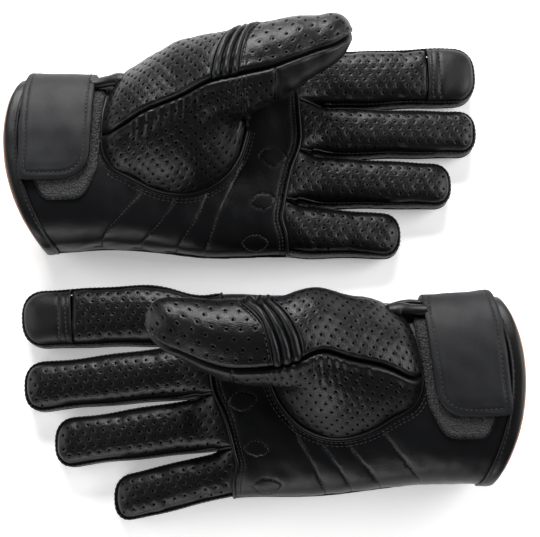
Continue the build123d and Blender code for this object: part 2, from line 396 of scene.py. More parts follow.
def panel(
    outline, spot, pitch=1.25, holes=(), creases=(), rise=None, tuck=0.9, roll=1.9, hidden=None, hole=HOLE
):
    """A panel's points, faces and the faces inside its holes.

    spot(pattern) wraps the pattern, creases are (line, width, depth) and rise(pattern) lifts the leather.
    """
    outline = even_outline(outline, pitch)
    closed = np.vstack([outline, outline[:1]])
    holes = punched_holes(np.asarray(holes, float).reshape(-1, 2), outline, closed, creases)
    groups = flat_points(outline, closed, holes, creases, pitch, tuck, hole)
    made, triangles, sink, on_lip, lips = joined(groups)
    faces = shown_triangles(made, triangles, on_lip, outline, hidden).tolist()

    height = -sink
    if tuck:
        height -= tuck * (1 - step_up(gap_to_line(made, closed), SEAM_IN, roll))
    for line, width, depth in creases:
        height -= depth * np.exp(-((gap_to_line(made, line) / width) ** 2))
    if rise is not None:
        height += rise(made)
    normal = normals_of(spot, made)
    points = spot(made) + normal * height[:, None]

    floors = len(faces)
    for k in range(len(holes)):
        loop = [lips.get(k * HOLE_POINTS + j) for j in range(HOLE_POINTS)]
        if None in loop:
            continue
        base = len(points)
        bottom = made[loop] * HOLE_FLOOR + made[loop].mean(0) * (1 - HOLE_FLOOR)
        bottom = spot(bottom) + normal[loop] * (height[loop] - HOLE_DEPTH)[:, None]
        points = np.vstack([points, bottom])
        faces += [[loop[n], loop[j], base + j, base + n] for j, n in loop_edges(0, HOLE_POINTS)]
        faces.append([base + j for j in range(HOLE_POINTS)])
    used = np.unique(np.concatenate([np.array(face) for face in faces]))
    new = np.full(len(points), -1)
    new[used] = np.arange(len(used))
    return points[used], [new[face].tolist() for face in faces], list(range(floors, len(faces)))


def lattice(low, high, along, across, seed, jitter=0.12):
    """Staggered hole centres over a box, as a punch makes them."""
    rows = staggered(low, high, along, across)
    return rows + np.random.default_rng(seed).uniform(-jitter, jitter, rows.shape)


level = lambda pattern: np.column_stack([pattern, 0 * pattern[:, 0]])
test = panel([(0, 0), (30, 0), (30, 20), (0, 20)], level, holes=[(10, 10), (20, 10)])
print("a trial panel has", len(test[0]), "points and", len(test[1]), "faces")

# %% [markdown]
# ## Wrapping a pattern round a tube
# A hand and a thumb are tubes whose section changes along them. A tube is turned into a table of points once:
# rows along it, and equal steps of leather round it from a chosen line. A flat pattern in millimetres can
# then be laid on it without stretching much, so holes stay round and evenly spaced, as they are in real
# leather.

# %% Wrap
STEPS = 150  # points of leather on each side of a wrap's first line


class Wrap:
    """A tube unrolled: s mm along it and q mm round it."""

    def __init__(self, s, loops):
        """loops holds, for each s, points all the way round, starting and ending opposite the first line."""
        self.s = s
        half = loops.shape[1] // 2
        self.table = np.zeros((len(s), 2 * STEPS + 1, 3))
        self.plus, self.minus = np.zeros(len(s)), np.zeros(len(s))
        for row, loop in enumerate(loops):
            for side, part in ((1, loop[half:]), (-1, loop[half::-1])):
                run = np.concatenate([[0], np.cumsum(np.linalg.norm(np.diff(part, axis=0), axis=1))])
                want = np.linspace(0, run[-1], STEPS + 1)
                even = np.stack([np.interp(want, run, column) for column in part.T], 1)
                if side > 0:
                    self.plus[row] = run[-1]
                    self.table[row, STEPS:] = even
                else:
                    self.minus[row] = run[-1]
                    self.table[row, : STEPS + 1] = even[::-1]

    def sides(self, s):
        return np.interp(s, self.s, self.minus), np.interp(s, self.s, self.plus)

    def __call__(self, pattern):
        s, q = pattern[:, 0], pattern[:, 1]
        minus, plus = self.sides(s)
        q = (q + minus) % (minus + plus) - minus
        column = STEPS + np.where(q > 0, q / plus, q / minus) * STEPS
        row = np.interp(s, self.s, np.arange(len(self.s)))
        i = np.clip(row.astype(int), 0, len(self.s) - 2)
        j = np.clip(column.astype(int), 0, 2 * STEPS - 1)
        u, v = (row - i)[:, None], (column - j)[:, None]
        t = self.table
        here = t[i, j] * (1 - u) + t[i + 1, j] * u
        beside = t[i, j + 1] * (1 - u) + t[i + 1, j + 1] * u
        return here * (1 - v) + beside * v

    def nearest(self, points):
        """Pattern places of points given in plan, on the side that faces up, where s is also x."""
        places = []
        for s, y in points:
            row = int(np.clip(np.searchsorted(self.s, s), 0, len(self.s) - 1))
            line = self.table[row]
            top = line[:, 2] > (line[:, 2].max() + line[:, 2].min()) / 2
            j = int(np.where(top, np.abs(line[:, 1] - y), 1e9).argmin())
            q = (j - STEPS) / STEPS * (self.plus[row] if j > STEPS else self.minus[row])
            places.append((s, q))
        return np.array(places)


print("a wrap has", 2 * STEPS + 1, "points round each row")

# %% [markdown]
# ## The hand
# The hand's section is a box with very round corners, flattened on the table and crowned over the palm.
# Stations from wrist to knuckles give its width and height. The first line of its wrap runs along the middle
# of the palm.

# %% The hand tube
HAND_START, HAND_END = -12.0, 177.0  # x, mm
HAND = [  # x, least y, most y, least z, most z
    (HAND_START, -46, 47, 0.9, 45.5),
    (30, -42.5, 46, 0.7, 44.5),
    (48, -41, 47, 0.2, 42.5),
    (75, -41.5, 52, 0, 37),
    (100, -43, 57, 0, 33),
    (125, -43.8, 60.5, 0, 30),
    (152, -44, 67.3, 0, 27.5),
    (176, -44, 69.5, 0, 25.5),
]
SQUARENESS = 2.9  # 2 is an ellipse
CUFF = np.polyfit([-50, 10, 54], [22, 0, 8], 2)  # x of the cuff's edge from y


def hand_section(x):
    columns = [smooth(x, [row[0] for row in HAND], [row[k] for row in HAND]) for k in (1, 2, 3, 4)]
    low, high, floor, top = columns
    return (low + high) / 2, (high - low) / 2, (floor + top) / 2, (top - floor) / 2


def power(value, exponent):
    return np.sign(value) * np.abs(value) ** exponent


def make_hand():
    s = np.arange(HAND_START, HAND_END, 1.0)
    y, half_y, z, half_z = (v[:, None] for v in hand_section(s))
    angle = np.linspace(-pi, pi, 721)[None]
    loops = np.stack(
        [
            s[:, None] + 0 * angle,
            y + half_y * power(np.sin(angle), 2 / SQUARENESS),
            z + half_z * power(np.cos(angle), 2 / SQUARENESS),
        ],
        2,
    )
    return Wrap(s, loops)


hand = make_hand()


def hand_height(x, y, upper=True):
    """How high the hand's palm side, or its back, is at places in plan."""
    mid_y, half_y, mid_z, half_z = hand_section(x)
    u = np.clip(np.abs(y - mid_y) / half_y, 0, 0.998)
    lift = half_z * (1 - u**SQUARENESS) ** (1 / SQUARENESS)
    return mid_z + lift if upper else mid_z - lift


def hand_depth(points):
    """About how far points are outside the hand's surface, in mm; negative inside it."""
    mid_y, half_y, mid_z, half_z = hand_section(points[:, 0])
    u, v = np.abs(points[:, 1] - mid_y) / half_y, np.abs(points[:, 2] - mid_z) / half_z
    far = np.maximum((u**SQUARENESS + v**SQUARENESS) ** (1 / SQUARENESS), 0.05)
    steep = far ** (1 - SQUARENESS) * np.hypot(u ** (SQUARENESS - 1) / half_y, v ** (SQUARENESS - 1) / half_z)
    return (far - 1) / steep


def round_at_height(s, z, side):
    """How far round the hand from the middle of the palm it is down to a height."""
    row = hand.table[int(np.clip(round(s - HAND_START), 0, len(hand.s) - 1))]
    half = row[STEPS:] if side > 0 else row[STEPS::-1]
    length = np.interp(s, hand.s, hand.plus if side > 0 else hand.minus)
    j = np.argmax(half[:, 2] < z)
    return side * j / STEPS * length


for place, row in (("wrist", 30), ("knuckles", 160)):
    print("round the", place, round(float(hand.plus[row] + hand.minus[row])), "mm")

# %% [markdown]
# ## The ball of the thumb
# The thumb of such a glove is set in at an angle: a rounded ball rises from the palm, narrows to a neck and
# runs out as the thumb. Adding the two shapes as distance fields with a soft join gives one skin with no seam
# in it, and casting rays out from a line inside finds that skin. The line round which its two panels meet is
# a deep valley that runs along the top, so the wrap's first line is laid there.

# %% The thumb's skin
BALL = (86.0, 20.0, 18.0)
BALL_REACH = {"wrist": 41.0, "fingers": 36.0, "inner": 40.0, "up": 40.5}
BALL_OUTER = {"left": 39.0, "right": 35.0}
BALL_SCALE = 38.0  # turns the ball's measure into about mm
ROOT = (106.0, 36.0, 52.0)  # the thumb's hinge
YAW = {"left": 22.0, "right": 6.0}
THUMB_LENGTH = {"left": 74.4, "right": 71.5}
THUMB_RADII = [(0, 21.2), (17, 20.8), (30, 19.8), (44, 17.6), (56, 14.2)]
TIP_POINT = 1.95  # 2 is an ellipse, less is more pointed
FLATNESS = 0.8
NECK = (60.0, 17.0, 32.0)
NECK_SIDE, NECK_UP, NECK_START = 25.0, 21.0, 14.0
# how far the ball swells outwards, at which x, over how long a stretch
BULGE = {"left": (12.0, 78.0, 26.0), "right": (4.0, 97.0, 12.0)}
DRAWN_IN = {"left": 0.0, "right": 8.5}  # how far the thumb's root lies towards the palm, mm
JOIN = 7.0  # how softly the ball and the thumb run together, mm
VALLEY = {  # x, y and about z of the valley seam
    "left": [
        *((44, 11, 43), (51, 11, 47), (74, 20, 57), (90, 25, 61), (105, 31, 65)),
        *((122, 35, 67), (133, 38, 66), (145, 43, 65), (160, 50, 62), (175, 57, 58)),
    ],
    "right": [
        *((44, 8, 43), (52, 8, 47), (67, 13, 55), (83, 17, 60), (95, 21, 62), (108, 19, 62)),
        *((123, 18, 61), (134, 18.5, 60), (151, 22, 59), (166, 29, 57), (179, 37, 54)),
    ],
}


def arm_section(x, side):
    """Middle and half sizes of the neck and thumb at x."""
    lean = tan(radians(YAW[side]))
    out = (x - ROOT[0]) / cos(radians(YAW[side]))
    t = step_up(x, NECK[0], ROOT[0] + 6)
    radius = smooth(out, [r[0] for r in THUMB_RADII], [r[1] for r in THUMB_RADII])
    end = THUMB_RADII[-1][0]
    tip = np.clip((out - end) / (THUMB_LENGTH[side] - end), 0, 0.9999)
    radius = np.where(out > end, THUMB_RADII[-1][1] * (1 - tip**TIP_POINT) ** (1 / TIP_POINT), radius)
    neck_y = NECK[1] + (x - NECK[0]) * (ROOT[1] - NECK[1]) / (ROOT[0] - NECK[0])
    y = np.where(x < ROOT[0], neck_y, ROOT[1] + (x - ROOT[0]) * lean)
    y = y - DRAWN_IN[side] * step_up(x, 84, 112) * (1 - step_up(x, 136, 178))
    z = NECK[2] + (ROOT[2] - NECK[2]) * t
    half_y = NECK_SIDE + (radius / cos(radians(YAW[side])) - NECK_SIDE) * t
    half_z = NECK_UP + (radius * FLATNESS - NECK_UP) * t
    return y, z, half_y, half_z


def thumb_depth(x, y, z, side):
    """About how far a point is outside the ball and thumb together."""
    reach = BALL_REACH
    to_wrist = np.abs((x - BALL[0]) / reach["wrist"]) ** 2.5
    dx = np.where(x < BALL[0], to_wrist, np.abs((x - BALL[0]) / reach["fingers"]) ** 2.0)
    reach_y = np.where(y > BALL[1], BALL_OUTER[side], reach["inner"])
    far = np.sqrt(dx + ((y - BALL[1]) / reach_y) ** 2 + ((z - BALL[2]) / reach["up"]) ** 2)
    ball = (far - 1) * BALL_SCALE
    mid_y, mid_z, half_y, half_z = arm_section(x, side)
    swell, where, long = BULGE[side]
    half_y = half_y + (y > mid_y) * swell * np.exp(-(((x - where) / long) ** 2))
    before = np.clip((NECK[0] - x) / NECK_START, 0, 3)
    round_it = ((y - mid_y) / half_y) ** 2 + ((z - mid_z) / half_z) ** 2
    arm = (np.sqrt(round_it + before**2) - 1) * np.minimum(half_y, half_z)
    blend = np.clip(0.5 + 0.5 * (arm - ball) / JOIN, 0, 1)
    return arm * (1 - blend) + ball * blend - JOIN * blend * (1 - blend)


def make_thumb(side):
    """Rays cast out from a line inside the ball and thumb, with the valley seam as the wrap's first line."""
    tip = ROOT[0] + THUMB_LENGTH[side] * cos(radians(YAW[side])) - 0.02
    bend = np.linspace(0, 1, 60)
    wrist_end, tip_end = 36.5 + 7 * bend[:-1] ** 2, tip - 16 + 16 * np.sin(bend * pi / 2)
    x = np.concatenate([wrist_end, np.arange(43.5, tip - 16, 0.7), tip_end])
    t = step_up(x, 60, 118)
    arm_y, arm_z, _, _ = arm_section(x, side)
    mid_y = 20 * (1 - t) + arm_y * t
    mid_z = np.interp(x, [36, 46, 60], [20, 27, 31]) * (1 - t) + arm_z * t
    rows = VALLEY[side]
    valley_y = smooth(x, [r[0] for r in rows], [r[1] for r in rows])
    valley_z = smooth(x, [r[0] for r in rows], [r[2] for r in rows])
    first = np.arctan2(valley_z - mid_z, valley_y - mid_y)
    first = np.where(x > tip - 8, first[np.searchsorted(x, tip - 8)], first)
    angle = first[:, None] - np.linspace(-pi, pi, 481)[None]

    def along_rays(radius):
        way_y, way_z = radius * np.cos(angle), radius * np.sin(angle)
        return x[:, None] + 0 * angle, mid_y[:, None] + way_y, mid_z[:, None] + way_z

    near, far = np.zeros(angle.shape), np.full(angle.shape, 75.0)
    for _ in range(24):  # each round halves the gap in which the skin lies
        middle = (near + far) / 2
        out = thumb_depth(*along_rays(middle), side) > 0
        far, near = np.where(out, middle, far), np.where(out, near, middle)
    radius = (near + far) / 2
    run = np.concatenate([[0], np.cumsum(np.hypot(np.diff(x), np.diff(radius.mean(1))))])
    start = np.searchsorted(x, 60)
    wrap = Wrap(run - run[start] + x[start], np.stack(along_rays(radius), 2))
    wrap.x_of_s = x
    return wrap


thumbs = {side: make_thumb(side) for side in ("left", "right")}
for side, wrap in thumbs.items():
    print(side, "thumb wrap: s from", round(float(wrap.s[0])), "to", round(float(wrap.s[-1])), "mm")
    print(side, "thumb wrap: round its neck", round(float(wrap.plus[150] + wrap.minus[150])), "mm")

# %% [markdown]
# ## Fingers
# A finger stall is a rounded box with a blunt round tip: a front panel, a side wall that runs round the tip,
# and a back panel. In plan it is a stadium. Its height at a place depends only on how near that place is to
# the edge, so the front and back can be cut in plan, where the holes are punched in straight rows.

# %% The finger shapes
FINGERS = {  # base x, base y, half width at base and tip, length, thickness at the tip
    "index": (149, 53.2, 15.7, 14.9, 95.5, 17.0),
    "middle": (149, 23.8, 12.9, 12.3, 94.5, 16.5),
    "ring": (144.5, -3.2, 12.8, 12.0, 84.5, 16.0),
    "little": (142, -30.4, 12.9, 11.4, 59, 15.5),
}
SPREAD = {
    "left": {"index": 2.5, "middle": 0.8, "ring": -0.8, "little": -1.5},
    "right": {"index": 2.5, "middle": -1.0, "ring": -2.6, "little": -6.0},
}
BASE_THICK = 26.0
STALL_SQUARE = 2.6
TIP_SQUARE, TIP_SHORT = 2.5, 0.86
SEAM = 0.955  # the seams run at this share of the half width
CROTCHES = {"left": (160, 154, 146), "right": (160, 154, 147.5)}
SEAM_LINE = [  # x and y of the seam between the palm and the fingers
    *((141, 72), (142.5, 58), (147, 42), (148, 30), (148, 11), (144, 0)),
    *((142, -8), (140, -19), (139, -26), (141, -34), (142, -46)),
]
NAMES = ("index", "middle", "ring", "little")


def seam_x(y):
    """Where the palm's leather ends and the fingers' begins."""
    rows = sorted((b, a) for a, b in SEAM_LINE)
    return smooth(y, [r[0] for r in rows], [r[1] for r in rows])


class Finger:
    def __init__(self, side, name):
        self.side, self.name = side, name
        self.base, self.y, self.wide, self.narrow, self.length, self.thin = FINGERS[name]
        self.lean = tan(radians(SPREAD[side][name]))
        self.tip = self.base + self.length
        self.axis_end = self.tip - TIP_SHORT * self.narrow
        place = NAMES.index(name)
        self.crotch_up = CROTCHES[side][place - 1] if place else None
        self.crotch_down = CROTCHES[side][place] if place < 3 else None
        self.number = place + (10 if side == "right" else 0)

    def middle(self, x):
        return self.y + self.lean * (np.minimum(x, self.tip) - self.base) * (np.asarray(x) > self.base)

    def half(self, x):
        t = np.clip((x - self.base) / self.length, -0.2, 1)
        bulge = 0.35 * np.sin(np.clip(t, 0, 1) * pi * 2.2) + 0.26 * np.sin(x / 5.7 + 2.1 * self.number)
        if self.name == "index":  # its outer edge runs in line with the edge of the hand
            bulge = bulge - 3.4 * (1 - step_up(x, 141, 168))
        return self.wide + (self.narrow - self.wide) * t + bulge

    def height(self, x, y, upper=True):
        run = np.clip((x - self.base) / self.length, -0.1, 1)
        thick = BASE_THICK + (self.thin - BASE_THICK) * run
        past = np.maximum(0, x - self.axis_end) / TIP_SHORT
        half = self.half(np.minimum(x, self.axis_end))
        u = (past**TIP_SQUARE + np.abs(y - self.middle(x)) ** TIP_SQUARE) ** (1 / TIP_SQUARE) / half
        lift = thick / 2 * (1 - np.clip(u, 0, 0.9995) ** STALL_SQUARE) ** (1 / STALL_SQUARE)
        z = thick / 2 + (lift if upper else -lift)
        crotch = max(c for c in (self.crotch_up, self.crotch_down) if c)
        share = step_up(x, seam_x(y) - 1, crotch + 7)
        flat = hand_height(np.minimum(x, 175), y, upper)
        return flat * (1 - share) + z * share

    def border(self, x, side):
        """The y of the front seam on one side, widened into the crotch next to a neighbour."""
        own = self.middle(x) + side * SEAM * self.half(x)
        crotch = self.crotch_up if side > 0 else self.crotch_down
        if crotch is None:
            return own
        place = NAMES.index(self.name)
        other = Finger(self.side, NAMES[place - side])
        facing = other.middle(x) - side * SEAM * other.half(x)
        between = (own + facing) / 2 - side * 0.12
        t = np.clip((x - crotch) / 5.0, 0, 1)
        return between + (own - between) * np.sqrt(1 - (1 - t) ** 2)

    def round_tip(self, points):
        """Points round the tip in plan, from the thumb's side to the other."""
        half = SEAM * self.half(self.axis_end)
        turn = np.linspace(pi / 2, -pi / 2, points)[1:-1]
        x = self.axis_end + TIP_SHORT * half * np.abs(np.cos(turn)) ** (2 / TIP_SQUARE)
        return np.column_stack([x, self.middle(x) + half * power(np.sin(turn), 2 / TIP_SQUARE)])

    def outline(self):
        """The closed outline of the front in plan, anticlockwise."""
        begin = [float(seam_x(self.border(np.array(144.0), side))) - 0.6 for side in (1, -1)]
        upper = [(x, float(self.border(np.array(x), 1))) for x in np.linspace(begin[0], self.axis_end, 70)]
        lower = [(x, float(self.border(np.array(x), -1))) for x in np.linspace(self.axis_end, begin[1], 70)]
        ys = np.linspace(lower[-1][1], upper[0][1], 12)[1:-1]
        foot = [(float(seam_x(y)) - 0.6, y) for y in ys]
        return np.array(upper + [tuple(point) for point in self.round_tip(41)] + lower + foot)[::-1]

    def front(self, pattern):
        return np.column_stack([pattern, self.height(pattern[:, 0], pattern[:, 1])])

    def rear(self, pattern):
        return np.column_stack([pattern, self.height(pattern[:, 0], pattern[:, 1], False)])


trial = Finger("left", "index")
top = float(trial.height(np.array(200.0), trial.middle(200.0)))
print("index tip at x", trial.tip, "top at", round(top, 1), "mm")

# %% [markdown]
# ## Writing shader maths
# A socket wrapped in a small class can be added and multiplied like a number, and each sum adds its Math
# node. Any other node comes from one method, which takes the node's settings first and then what goes into
# its sockets.

# %% Shader helper
class Value:
    def __init__(self, finish, socket):
        self.finish, self.socket = finish, socket

    def math(self, operation, *others):
        return self.finish.node("ShaderNodeMath", {"operation": operation}, dict(enumerate((self, *others))))

    def __add__(self, other):
        return self.math("ADD", other)

    def __sub__(self, other):
        return self.math("SUBTRACT", other)

    def __rsub__(self, other):
        return self.finish.node("ShaderNodeMath", {"operation": "SUBTRACT"}, {0: other, 1: self})

    def __mul__(self, other):
        return self.math("MULTIPLY", other)

    __radd__, __rmul__ = __add__, __mul__


class Finish:
    """A material under construction."""

    def __init__(self, name):
        self.material = bpy.data.materials.new(name)
        self.material.use_nodes = True
        self.tree = self.material.node_tree
        self.tree.nodes.clear()

    def node(self, kind, settings=None, inputs=None, output=0):
        node = self.tree.nodes.new(kind)
        for name, value in (settings or {}).items():
            if name == "stops":
                ramp = node.color_ramp.elements
                while len(ramp) < len(value):
                    ramp.new(0.5)
                for element, (place, colour) in zip(ramp, value):
                    element.position, element.color = place, (*colour, 1)
            else:
                setattr(node, name, value)
        for name, value in (inputs or {}).items():
            if isinstance(value, Value):
                self.tree.links.new(value.socket, node.inputs[name])
            else:
                node.inputs[name].default_value = value
        return Value(self, node.outputs[output])

    def place(self, stretch=(1, 1, 1)):
        """Where a point is, in millimetres."""
        at = self.node("ShaderNodeTexCoord", output="Object")
        scale = tuple(1000 * share for share in stretch)
        return self.node("ShaderNodeVectorMath", {"operation": "MULTIPLY"}, {0: at, 1: scale})

    def noise(self, pitch, detail=2.0, stretch=(1, 1, 1), roughness=0.5):
        inputs = {"Vector": self.place(stretch), "Scale": 1 / pitch, "Detail": detail, "Roughness": roughness}
        return self.node("ShaderNodeTexNoise", {}, inputs)

    def cells(self, pitch, feature="DISTANCE_TO_EDGE", jitter=1.0, stretch=(1, 1, 1)):
        inputs = {"Vector": self.place(stretch), "Scale": 1 / pitch, "Randomness": jitter}
        return self.node("ShaderNodeTexVoronoi", {"feature": feature}, inputs)

    def waves(self, way, scale, wander):
        """Soft bands across one way; a larger scale makes them finer."""
        inputs = {"Vector": self.place(), "Scale": scale, "Distortion": wander}
        return self.node("ShaderNodeTexWave", {"bands_direction": way}, inputs)

    def ramp(self, value, stops):
        return self.node("ShaderNodeValToRGB", {"stops": stops}, {"Fac": value})

    def between(self, value, low, high):
        return self.node("ShaderNodeMapRange", {}, {"Value": value, "To Min": low, "To Max": high})

    def bump(self, height, size_mm):
        return self.node("ShaderNodeBump", {}, {"Height": height, "Distance": size_mm / 1000})

    def surface(self, **inputs):
        names = {name.replace("_", " "): value for name, value in inputs.items()}
        shader = self.node("ShaderNodeBsdfPrincipled", {}, names)
        out = self.tree.nodes.new("ShaderNodeOutputMaterial")
        self.tree.links.new(shader.socket, out.inputs["Surface"])
        return self.material


print("shader helper ready")

# %% [markdown]
# ## The leathers
# Black glove leather is nearly black with a cool cast, and it is never evenly glossy. Its grain is a net of
# fine creases between tiny pillows: the distance to the edges of a cell pattern gives those creases, and two
# sizes of noise break them up. The same recipe makes every leather of the gloves, with its own colour, gloss
# and grain.

# %% Leather
def grey(value):
    return (value, value, value)


def leather(name, dark, light, gloss, dull, grain, depth, stretch=(1, 1, 1)):
    """gloss and dull are the least and most roughness; grain and depth are the creases' size in mm."""
    f = Finish(name)
    patches = f.noise(18, 3.0, stretch)
    fine = f.noise(1.6, 3.0, stretch, 0.65)
    pillows = f.cells(grain, stretch=stretch)
    creases = f.ramp(pillows, [(0.0, grey(0)), (0.22, grey(0.75)), (1.0, grey(1))])
    wander = f.noise(6.5, 2.0, stretch)
    colour = f.ramp(patches * 0.75 + fine * 0.35, [(0.32, dark), (0.72, light)])
    rough = f.between(patches * 0.5 + fine * 0.5, dull, gloss)
    relief = f.bump(creases * 0.55 + fine * 0.6 + wander * 1.1, depth)
    return f.surface(Base_Color=colour, Roughness=rough, Normal=relief, Specular_IOR_Level=0.235)


smooth_leather = leather(
    "smooth black leather", (0.0014, 0.0015, 0.0019), (0.0042, 0.0044, 0.0052), 0.27, 0.42, 0.85, 0.07
)
perforated_leather = leather(
    "perforated black leather", (0.0016, 0.0016, 0.0019), (0.0048, 0.0048, 0.0055), 0.26, 0.40, 1.0, 0.09
)
side_leather = leather(
    "side wall leather", (0.0016, 0.0016, 0.0020), (0.0042, 0.0042, 0.0050), 0.30, 0.44, 0.9, 0.08
)
binding_leather = leather(
    "binding leather", (0.0020, 0.0020, 0.0024), (0.0052, 0.0052, 0.0060), 0.28, 0.42, 0.8, 0.07
)
strap_leather = leather(
    "strap leather", (0.0032, 0.0034, 0.0042), (0.0084, 0.0088, 0.0104), 0.44, 0.60, 0.55, 0.06, (1, 0.55, 1)
)
touch_leather = leather(
    "touch leather", (0.0024, 0.0024, 0.0028), (0.0058, 0.0058, 0.0066), 0.33, 0.46, 0.75, 0.07
)
print("leathers:", [m.name for m in bpy.data.materials if m.name.endswith("leather")])

# %% [markdown]
# ## Thread, pile and lining
# The thread is twisted, so fine slanting bands run round it. One black thread comes in two tones: a lighter
# one, which is a painted glint, for the stitches of the palm, back, thumb and touch panel, and a darker one,
# which is painted shade where the strap's and the cuff's stitches sink in. The loop side of the closure is a
# tangle of matt nylon loops. The lining is a tan knit whose rows of stitches show as a fine ribbed pattern at
# the cuff.

# %% Thread and pile
def thread_finish(name, dark, light):
    f = Finish(name)
    twist = f.waves("DIAGONAL", 0.9, 0.6)
    tone = f.ramp(twist, [(0.2, dark), (0.8, light)])
    return f.surface(Base_Color=tone, Roughness=f.between(twist, 0.35, 0.6), Normal=f.bump(twist, 0.12))


def pile_finish(name, pitch, dark, light):
    f = Finish(name)
    loops = f.cells(pitch, "F1", 0.8)
    fuzz = f.noise(pitch * 0.6, 3.0)
    tone = f.ramp(loops * 0.6 + fuzz * 0.5, [(0.25, light), (0.75, dark)])
    return f.surface(Base_Color=tone, Roughness=f.between(fuzz, 0.5, 0.85), Normal=f.bump(1 - loops, 0.6))


# The lighter thread's tone is a painted glint, and the darker thread's tone is painted shade of stitches sunk
# in their holes. The twist's bands are the thread's own pattern.
thread = thread_finish("black waxed thread", (0.007, 0.007, 0.008), (0.024, 0.025, 0.028))
shaded_thread = thread_finish("matt black thread", (0.0015, 0.0015, 0.0017), (0.0050, 0.0050, 0.0056))
loop_pile = pile_finish("loop pile", 1.15, (0.0025, 0.0025, 0.003), (0.014, 0.0145, 0.016))
hook_tape = pile_finish("hook tape", 0.8, (0.005, 0.005, 0.006), (0.02, 0.02, 0.022))
print("threads and tapes:", [m.name for m in (thread, shaded_thread, loop_pile, hook_tape)])


# %% Lining, and the painted shade inside a hole
def lining_finish():
    f = Finish("tan knit lining")
    rib = f.waves("Y", 0.32, 1.5)
    fuzz = f.noise(0.7, 3.0)
    tone = f.ramp(rib * 0.5 + fuzz * 0.5, [(0.25, (0.24, 0.088, 0.042)), (0.8, (0.52, 0.225, 0.115))])
    relief = f.bump(rib * 0.6 + fuzz * 0.6, 0.25)
    return f.surface(Base_Color=tone, Roughness=f.between(fuzz, 0.7, 0.95), Normal=relief)


# The wall and bottom of each punched hole are near black and matt: painted shade for the dark inside of the
# glove, seen through the hole.
def hole_shade_finish():
    f = Finish("inside of a punched hole")
    speckle = f.noise(0.5, 2.0)
    tone = f.ramp(speckle, [(0.3, (0.0015, 0.0015, 0.0017)), (0.8, (0.004, 0.004, 0.0045))])
    return f.surface(Base_Color=tone, Roughness=f.between(speckle, 0.75, 0.95))


lining_knit = lining_finish()
hole_shade = hole_shade_finish()
print("finishes:", len(bpy.data.materials))

# %% [markdown]
# ## How the hands fill the gloves
# The two gloves are cut alike, but stuffing or a hand never fills two gloves alike. Here and there an edge of
# the hand is pressed in or stands out by a few millimetres. Moving every piece of a place by the same soft
# amount keeps the seams together, and it is far easier than drawing each pattern twice.

# %% Pressing the edges
SQUEEZE = {  # how far an edge is pressed towards the thumb, from and up to which y, about which x, how long
    "left": [(-1.8, -15, -44, 100, 25), (2.4, 44, 68, 222, 28)],
    "right": [(4.2, -15, -44, 142, 34), (-5.2, 35, 62, 154, 18)],
}


def squeeze(side, points):
    """How far each point is pressed towards the thumb's side, mm."""
    total = np.zeros(len(points))
    for push, start, end, where, long in SQUEEZE[side]:
        share = step_up(points[:, 1] * np.sign(end), start * np.sign(end), end * np.sign(end))
        total += push * share * np.exp(-(((points[:, 0] - where) / long) ** 2))
    return total


print("the right hand's edge moves", squeeze("right", np.array([[142.0, -44, 10]])), "mm")

# %% [markdown]
# ## Sewing pieces together
# Each piece becomes one mesh. A piece of the palm or of the strap rides on that CAD body; the pieces of the
# thumb and of the fingers are left where they are made, on no body. The places where their leather would start
# and stop turning at a joint are worked out, but nothing bends it.

# %% One piece of a glove
BEND = {"thumb": (-9, 13), "finger": (-5, 21)}  # how far past a hinge the leather would start and stop bending, mm; nothing bends it
HINGE_UP = 14  # how high the fingers' hinges lie, mm


class Glove(Frame):
    """Makes one glove's pieces in its own millimetres and lays them in place."""

    def bend(self, part):
        """Where the leather would start and stop turning at a stall's joint; the pieces do not bend there."""
        if part == "thumb":
            lean = radians(YAW[self.side])
            x, y, z = ROOT
            return [self.place(x + far * cos(lean), y + far * sin(lean), z) for far in BEND["thumb"]]
        x, y = FINGERS[part][:2]
        return [self.place(x + far, y, HINGE_UP) for far in BEND["finger"]]

    def mesh(self, name, parts, pressed):
        """One mesh from parts in the glove's own millimetres, and which faces are inside punched holes."""
        points, faces, dark, at = [], [], [], 0
        for part in parts:
            points.append(part[0])
            faces += [[v + at for v in face] for face in part[1]]
            dark.append(np.isin(np.arange(len(part[1])), part[2] if len(part) > 2 else []))
            at += len(part[0])
        points = np.concatenate(points)
        if pressed:
            points[:, 1] += squeeze(self.side, points)
        points[:, 2] = np.maximum(points[:, 2], 0)  # pressed flat by the table
        if self.mirrored:
            faces = [face[::-1] for face in faces]
        mesh = bpy.data.meshes.new(f"{self.side}_{name}")
        mesh.from_pydata(self.world(points).tolist(), [], faces)
        return mesh, np.concatenate(dark)

    def piece(self, name, parts, body, material, slot, replaces=(), padded=None):
        """parts are (points, faces, floors); the floors are the faces inside punched holes."""
        mesh, dark = self.mesh(name, parts, body != "thumb")
        mesh.materials.append(material)
        # the faces inside punched holes take the painted shade of a hole's inside
        if dark.any():
            mesh.materials.append(hole_shade)
        mesh.polygons.foreach_set("material_index", dark.astype(np.int32))
        mesh.polygons.foreach_set("use_smooth", np.ones(len(dark), bool))
        mesh.update()
        piece = bpy.data.objects.new(f"{self.side}_{name}", mesh)
        bpy.context.scene.collection.objects.link(piece)
        if body in ("palm", "strap"):
            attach(piece, f"{self.side}_{body}")
        else:
            start, end = self.bend(body)
            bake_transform(piece)
            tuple(start)
            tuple(end)
        if replaces:
            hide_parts(*(f"{self.side}_{node}" for node in replaces))


print("a piece bends over", BEND["finger"][1] - BEND["finger"][0], "mm at a finger's joint")

# %% [markdown]
# ## Cords and stitches
# Piping, seam ridges and bound edges are all round cords along a line. A stitch is a short capsule that dips
# into the leather at both ends. It is shaped once and then laid along a seam, a little apart, as a sewing
# machine does.

# %% Cords
def round_faces(rows, count, turned=False):
    """Faces between rows of points that run all the way round; turned ones look the other way."""
    faces = []
    for k in range(rows - 1):
        a, b = k * count, (k + 1) * count
        for j, n in loop_edges(0, count):
            faces.append([a + j, b + j, b + n, a + n] if turned else [a + j, a + n, b + n, b + j])
    return faces


